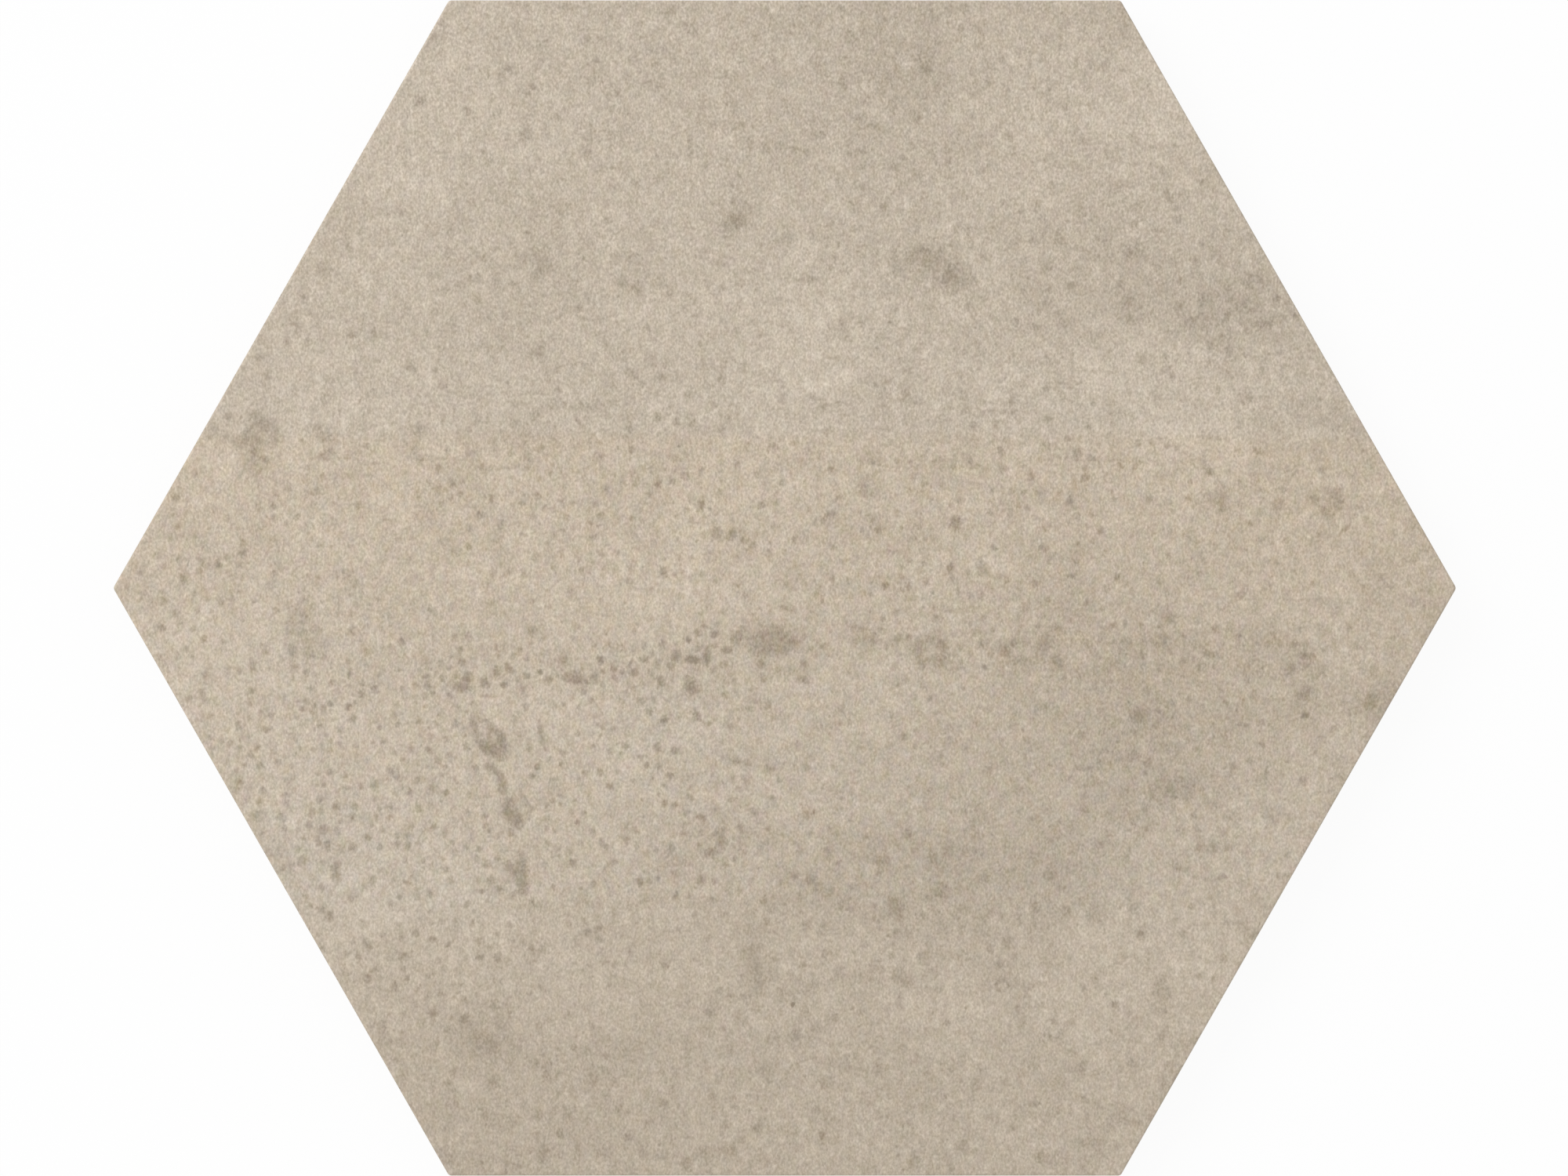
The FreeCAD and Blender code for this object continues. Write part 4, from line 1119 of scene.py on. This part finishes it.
def marks_drawn(tree, raggedness):
    """How far the print's marks darken it: the darkest of those that the mesh names."""
    darkest = 0.0
    for rank in range(marks_per_triangle):
        mark = add(tree, "ShaderNodeAttribute", attribute_name=f"mark_{rank}").outputs["Vector"]
        level = add(tree, "ShaderNodeSeparateXYZ", [mark]).outputs["Z"]
        flat = add(tree, "ShaderNodeVectorMath", [mark, (1, 1, 0)], operation="MULTIPLY")
        distance = add(tree, "ShaderNodeVectorMath", [flat], operation="LENGTH")
        uneven = add(tree, "ShaderNodeMath", [distance, raggedness], operation="ADD")
        inside = add(
            tree,
            "ShaderNodeMapRange",
            {"Value": uneven, "From Min": 1.65, "From Max": 0.35},
            interpolation_type="SMOOTHSTEP",
        )
        shade = add(tree, "ShaderNodeMath", [inside, level], operation="MULTIPLY")
        darkest = add(tree, "ShaderNodeMath", [shade, darkest], operation="MINIMUM")
    return darkest


def cement_print():
    """Porcelain with a cement-look print, dry and even to the eye, under a matt glaze."""
    material, tree = new_material("matt_glazed_cement_print")
    place = add(tree, "ShaderNodeTexCoord").outputs["Object"]

    # The grain runs slightly up and down the picture, so its places are squeezed along Y.
    squeezed = add(tree, "ShaderNodeMapping", [place], vector_type="POINT")
    squeezed.inputs["Scale"].default_value = (1.0, 0.66, 1.0)
    squeezed.inputs["Rotation"].default_value = (0, 0, math.radians(6))

    def levels(pattern, amount):
        """A pattern about its middle, as levels of 255."""
        middle = add(tree, "ShaderNodeMath", [pattern, 0.5], operation="SUBTRACT")
        return add(tree, "ShaderNodeMath", [middle, amount], operation="MULTIPLY")

    # Ink dots, blotches of one to two millimetres, and the soft mottle between the clouds. The
    # dots are cut from their noise aslant, or its rows would show.
    aslant = add(tree, "ShaderNodeMapping", [squeezed], vector_type="POINT")
    aslant.inputs["Rotation"].default_value = (math.radians(37), math.radians(28), 0)
    grain = noise(tree, aslant, 0.31, 1.0, 0.5)
    blotch = noise(tree, squeezed, 1.5, 2.0, 0.55)
    mottle = noise(tree, squeezed, 4.5, 3.0, 0.6)
    edge = noise(tree, place, 0.75, 2.0, 0.6)
    patches = noise(tree, place, 3.6, 1.0, 0.5)
    prick = noise(tree, squeezed, 0.7, 1.0, 0.5)
    tone = add(tree, "ShaderNodeAttribute", attribute_name="tone").outputs["Fac"]
    warmth = add(tree, "ShaderNodeAttribute", attribute_name="warmth").outputs["Fac"]

    total = marks_drawn(tree, levels(edge, 1.8))
    strength = add(tree, "ShaderNodeAttribute", attribute_name="grain_strength").outputs["Fac"]
    fine_grain = add(tree, "ShaderNodeMath", [levels(grain, 83.0), strength], operation="MULTIPLY")
    patchiness = add(
        tree,
        "ShaderNodeMapRange",
        {"Value": patches, "From Min": 0.35, "From Max": 0.65, "To Min": 0.55, "To Max": 1.55},
    )
    patchy = add(tree, "ShaderNodeMath", [levels(blotch, 36.0), patchiness], operation="MULTIPLY")
    for part in (tone, fine_grain, patchy, levels(mottle, 28.0)):
        total = add(tree, "ShaderNodeMath", [total, part], operation="ADD")
    pin = add(
        tree,
        "ShaderNodeMapRange",
        {"Value": prick, "From Min": 0.66, "From Max": 0.78},
        interpolation_type="SMOOTHSTEP",
    )
    total = add(tree, "ShaderNodeMath", [pin, -14.0, total], operation="MULTIPLY_ADD")

    # 96 levels from the darkest speck to the palest grain, in a cool and a warm row of colours
    factor = add(
        tree, "ShaderNodeMapRange", {"Value": total, "From Min": -48.0, "From Max": 48.0}
    )
    places = (0.0, 0.25, 0.5, 0.75, 1.0)
    cool_colours = ("#8b8377", "#a39b8f", "#bbb3a7", "#d3cbbf", "#ebe3d7")
    warm_colours = ("#93826b", "#ab9a83", "#c3b29b", "#dbcab3", "#f3e2cb")
    cool = ramp(tree, factor, list(zip(places, cool_colours)))
    warm = ramp(tree, factor, list(zip(places, warm_colours)))
    share = add(tree, "ShaderNodeMapRange", {"Value": warmth, "From Min": 0.0, "From Max": 20.0})
    inked = mixed(tree, share, cool, warm)
    # The inks don't cover each other evenly, so the hue wanders by a level or two, wherever the
    # print is dark or light. Its places are far from those of the grain.
    elsewhere = add(tree, "ShaderNodeVectorMath", [squeezed, (0.7, 0.4, 0.9)], operation="ADD")
    ink = noise(tree, elsewhere, 1.5, 2.0, 0.6).outputs["Color"]
    cast = add(tree, "ShaderNodeVectorMath", [ink, (0.5, 0.5, 0.5)], operation="SUBTRACT")
    wander = add(tree, "ShaderNodeAttribute", attribute_name="ink_wander").outputs["Fac"]
    reach = add(
        tree, "ShaderNodeVectorMath", {"Vector": (0.053, 0.02, 0.053), "Scale": wander}, operation="SCALE"
    )
    colour = add(tree, "ShaderNodeVectorMath", [cast, reach, inked], operation="MULTIPLY_ADD")

    fine = noise(tree, place, 0.35, 3.0, 0.6)
    bump = add(tree, "ShaderNodeBump", {"Strength": 0.15, "Distance": 0.02 * MM, "Height": fine})
    roughness = add(
        tree,
        "ShaderNodeMapRange",
        {"Value": mottle, "From Min": 0.3, "From Max": 0.7, "To Min": 0.58, "To Max": 0.68},
    )
    shader = add(
        tree,
        "ShaderNodeBsdfPrincipled",
        {"Base Color": colour, "Roughness": roughness, "IOR": 1.5, "Normal": bump},
    )
    add(tree, "ShaderNodeOutputMaterial", [shader])
    return material


def mixed(tree, share, under, over):
    """One colour laid over another."""
    return add(
        tree, "ShaderNodeMix", {"Factor": share, "A": under, "B": over}, data_type="RGBA"
    )


def fade(tree, value, low, high, most=1.0):
    """Nothing at low, most at high, and a soft step between."""
    return add(
        tree,
        "ShaderNodeMapRange",
        {"Value": value, "From Min": low, "From Max": high, "To Max": most},
        interpolation_type="SMOOTHSTEP",
    )


def fired_body(tree, place, dark, light):
    """Bare fired porcelain: pale and dry, speckled by the spray-dried grains that were pressed,
    with a few rusty pinpricks of iron."""
    granules = noise(tree, place, 0.45, 2.0, 0.6)
    body = ramp(tree, granules, [(0.32, dark), (0.68, light)])
    cloud = fade(tree, noise(tree, place, 7.0, 3.0, 0.55), 0.35, 0.68, 0.30)
    body = mixed(tree, cloud, body, linear("#a3957f"))
    salt_and_pepper = noise(tree, place, 0.38, 0.0, 0.5)
    body = mixed(tree, fade(tree, salt_and_pepper, 0.58, 0.72, 0.40), body, linear("#e3dccf"))
    body = mixed(tree, fade(tree, salt_and_pepper, 0.40, 0.27, 0.40), body, linear("#8b7d67"))
    iron = fade(tree, noise(tree, place, 0.9, 1.0, 0.5), 0.26, 0.21, 0.55)
    return mixed(tree, iron, body, linear("#7c6650"))


def pressed_edge():
    """The tile's upright side: bare body that the die has dragged upright, with the glaze's
    ragged run-over and a thin pale line of engobe at the top."""
    material, tree = new_material("fired_porcelain_edge")
    place = add(tree, "ShaderNodeTexCoord").outputs["Object"]
    height = add(tree, "ShaderNodeSeparateXYZ", [place]).outputs["Z"]
    body = fired_body(tree, place, "#b3a48d", "#d0c3ae")

    upright = add(tree, "ShaderNodeMapping", [place], vector_type="POINT")
    upright.inputs["Scale"].default_value = (1.0, 1.0, 0.07)
    drag = noise(tree, upright, 0.7, 2.0, 0.6)
    body = mixed(tree, fade(tree, drag, 0.52, 0.72, 0.35), body, linear("#9d8f79"))
    body = mixed(tree, fade(tree, drag, 0.46, 0.30, 0.30), body, linear("#ded4c3"))

    # How far each point lies above the ragged lower edge of the run-over
    run, raggedness = 0.75 * MM, 2.2 * MM
    wander = noise(tree, place, 2.6, 3.0, 0.6)
    edge = add(tree, "ShaderNodeMath", [wander, raggedness, height], operation="MULTIPLY_ADD")
    lowest = (thickness - arris_radius) * MM - run + raggedness / 2
    glaze = fade(tree, edge, lowest - 0.06 * MM, lowest + 0.10 * MM)
    frayed = add(
        tree, "ShaderNodeMath", [noise(tree, place, 0.7, 2.0, 0.6), 0.7 * MM, edge],
        operation="MULTIPLY_ADD",
    )
    engobe = fade(tree, frayed, lowest + 0.02 * MM, lowest + 0.34 * MM)
    comes_and_goes = fade(tree, noise(tree, place, 4.0, 2.0, 0.6), 0.38, 0.60, 0.6)
    engobe = add(tree, "ShaderNodeMath", [engobe, comes_and_goes], operation="MULTIPLY")
    droplets = fade(tree, noise(tree, place, 0.3, 1.0, 0.5), 0.56, 0.64)
    drizzle = fade(tree, height, (thickness - 3.5) * MM, (thickness - 0.8) * MM, 0.7)
    spray = add(tree, "ShaderNodeMath", [droplets, drizzle], operation="MULTIPLY")
    colour = mixed(tree, spray, body, linear("#beaf98"))
    colour = mixed(tree, engobe, colour, linear("#e0d8c9"))
    glazed = ramp(tree, noise(tree, place, 0.5, 2.0, 0.5), [(0.3, "#b3a58e"), (0.7, "#cabca6")])
    colour = mixed(tree, glaze, colour, glazed)

    roughness = add(
        tree, "ShaderNodeMapRange", {"Value": glaze, "To Min": 0.86, "To Max": 0.60}
    )
    grit = noise(tree, place, 0.3, 2.0, 0.6)
    rough = add(tree, "ShaderNodeMath", [grit, drag], operation="ADD")
    bump = add(tree, "ShaderNodeBump", {"Strength": 0.5, "Distance": 0.05 * MM, "Height": rough})
    shader = add(
        tree,
        "ShaderNodeBsdfPrincipled",
        {"Base Color": colour, "Roughness": roughness, "IOR": 1.5, "Normal": bump},
    )
    add(tree, "ShaderNodeOutputMaterial", [shader])
    return material


def keyed_back():
    """The bevel, ribs and pockets: bare body, chalky white where the ribs took the kiln wash
    from the roller, in streaks along X."""
    material, tree = new_material("fired_porcelain_back")
    place = add(tree, "ShaderNodeTexCoord").outputs["Object"]
    height = add(tree, "ShaderNodeSeparateXYZ", [place]).outputs["Z"]
    body = fired_body(tree, place, "#ab9c85", "#c9bba5")

    streaked = add(tree, "ShaderNodeMapping", [place], vector_type="POINT")
    streaked.inputs["Scale"].default_value = (0.16, 1.0, 1.0)
    streaks = fade(tree, noise(tree, streaked, 2.6, 3.0, 0.6), 0.38, 0.60)
    patches = fade(tree, noise(tree, place, 16.0, 3.0, 0.6), 0.30, 0.58)
    worn = add(tree, "ShaderNodeMath", [streaks, patches], operation="MULTIPLY")
    on_ribs = fade(tree, height, 0.12 * MM, 0.02 * MM, 0.85)
    wash = add(tree, "ShaderNodeMath", [worn, on_ribs], operation="MULTIPLY")
    colour = mixed(tree, wash, body, linear("#ebe7de"))
    dust = fade(tree, noise(tree, place, 3.0, 4.0, 0.7), 0.50, 0.70, 0.30)
    colour = mixed(tree, dust, colour, linear("#ddd6c8"))

    grit = noise(tree, place, 0.4, 3.0, 0.65)
    bump = add(tree, "ShaderNodeBump", {"Strength": 0.6, "Distance": 0.06 * MM, "Height": grit})
    shader = add(
        tree,
        "ShaderNodeBsdfPrincipled",
        {"Base Color": colour, "Roughness": 0.9, "IOR": 1.5, "Normal": bump},
    )
    add(tree, "ShaderNodeOutputMaterial", [shader])
    return material


def white_to_the_eye(tree, lit, strength):
    """Mixes a lit shader with plain white for what the camera sees, straight or mirrored."""
    rays = add(tree, "ShaderNodeLightPath")
    seen = add(
        tree,
        "ShaderNodeMath",
        [rays.outputs["Is Camera Ray"], rays.outputs["Is Glossy Ray"]],
        operation="MAXIMUM",
    )
    seen = add(
        tree,
        "ShaderNodeMath",
        [seen, rays.outputs["Is Transmission Ray"]],
        operation="MAXIMUM",
    )
    share = add(tree, "ShaderNodeMath", [seen, strength], operation="MULTIPLY")
    white = add(tree, "ShaderNodeEmission", {"Color": (1, 1, 1, 1), "Strength": 1.0})
    return add(tree, "ShaderNodeMixShader", [share, lit, white])


def floor_and_world():
    """A white floor that keeps a faint shadow, under an even white sky."""
    material, tree = new_material("white_studio_floor")
    lit = add(tree, "ShaderNodeBsdfDiffuse", {"Color": linear("#fafafa")})
    add(tree, "ShaderNodeOutputMaterial", [white_to_the_eye(tree, lit, 0.92)])
    half = 12.0
    mesh = bpy.data.meshes.new("floor")
    corners = [(-half, -half, 0), (half, -half, 0), (half, half, 0), (-half, half, 0)]
    mesh.from_pydata(corners, [], [(0, 1, 2, 3)])
    mesh.materials.append(material)
    floor = bpy.data.objects.new("floor", mesh)
    floor.location.z = -0.01 * MM
    bpy.context.scene.collection.objects.link(floor)

    world = bpy.data.worlds.new("studio")
    bpy.context.scene.world = world
    world.use_nodes = True
    tree = world.node_tree
    tree.nodes.clear()
    sky = add(tree, "ShaderNodeBackground", {"Color": (1, 1, 1, 1), "Strength": 0.72})
    add(tree, "ShaderNodeOutputWorld", [white_to_the_eye(tree, sky, 1.0)])


def soft_lamp():
    """One wide lamp from the upper left, for the relief's sake."""
    light = bpy.data.lights.new("softbox", "AREA")
    light.shape = "SQUARE"
    light.size = 1.0
    light.energy = 9.0
    lamp = bpy.data.objects.new("softbox", light)
    lamp.location = (-0.9, 0.7, 1.1)
    lamp.rotation_euler = Vector(lamp.location).to_track_quat("Z", "Y").to_euler()
    bpy.context.scene.collection.objects.link(lamp)


def camera_above():
    """A long lens straight above the face, so that the picture's height is the tile's flats."""
    lens, sensor_width = 100.0, 36.0
    frame_width, frame_height = 2000, 1500
    middle_x = -0.11 * MM  # the tile stands this far right of the picture's middle
    view_width = 2 * half_flats * MM * frame_width / frame_height
    data = bpy.data.cameras.new("camera")
    data.lens = lens
    data.sensor_width = sensor_width
    data.sensor_fit = "HORIZONTAL"
    data.clip_end = 100.0
    camera = bpy.data.objects.new("camera", data)
    camera.location = (middle_x, 0, thickness * MM + view_width * lens / sensor_width)
    bpy.context.scene.collection.objects.link(camera)
    bpy.context.scene.camera = camera


def main():
    tile = dressed_tile()
    tile.data.materials.append(cement_print())
    tile.data.materials.append(pressed_edge())
    tile.data.materials.append(keyed_back())
    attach(tile, "root")
    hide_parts("hexagon_tile")
    floor_and_world()
    soft_lamp()
    camera_above()
    bpy.context.scene.view_settings.view_transform = "Standard"


main()
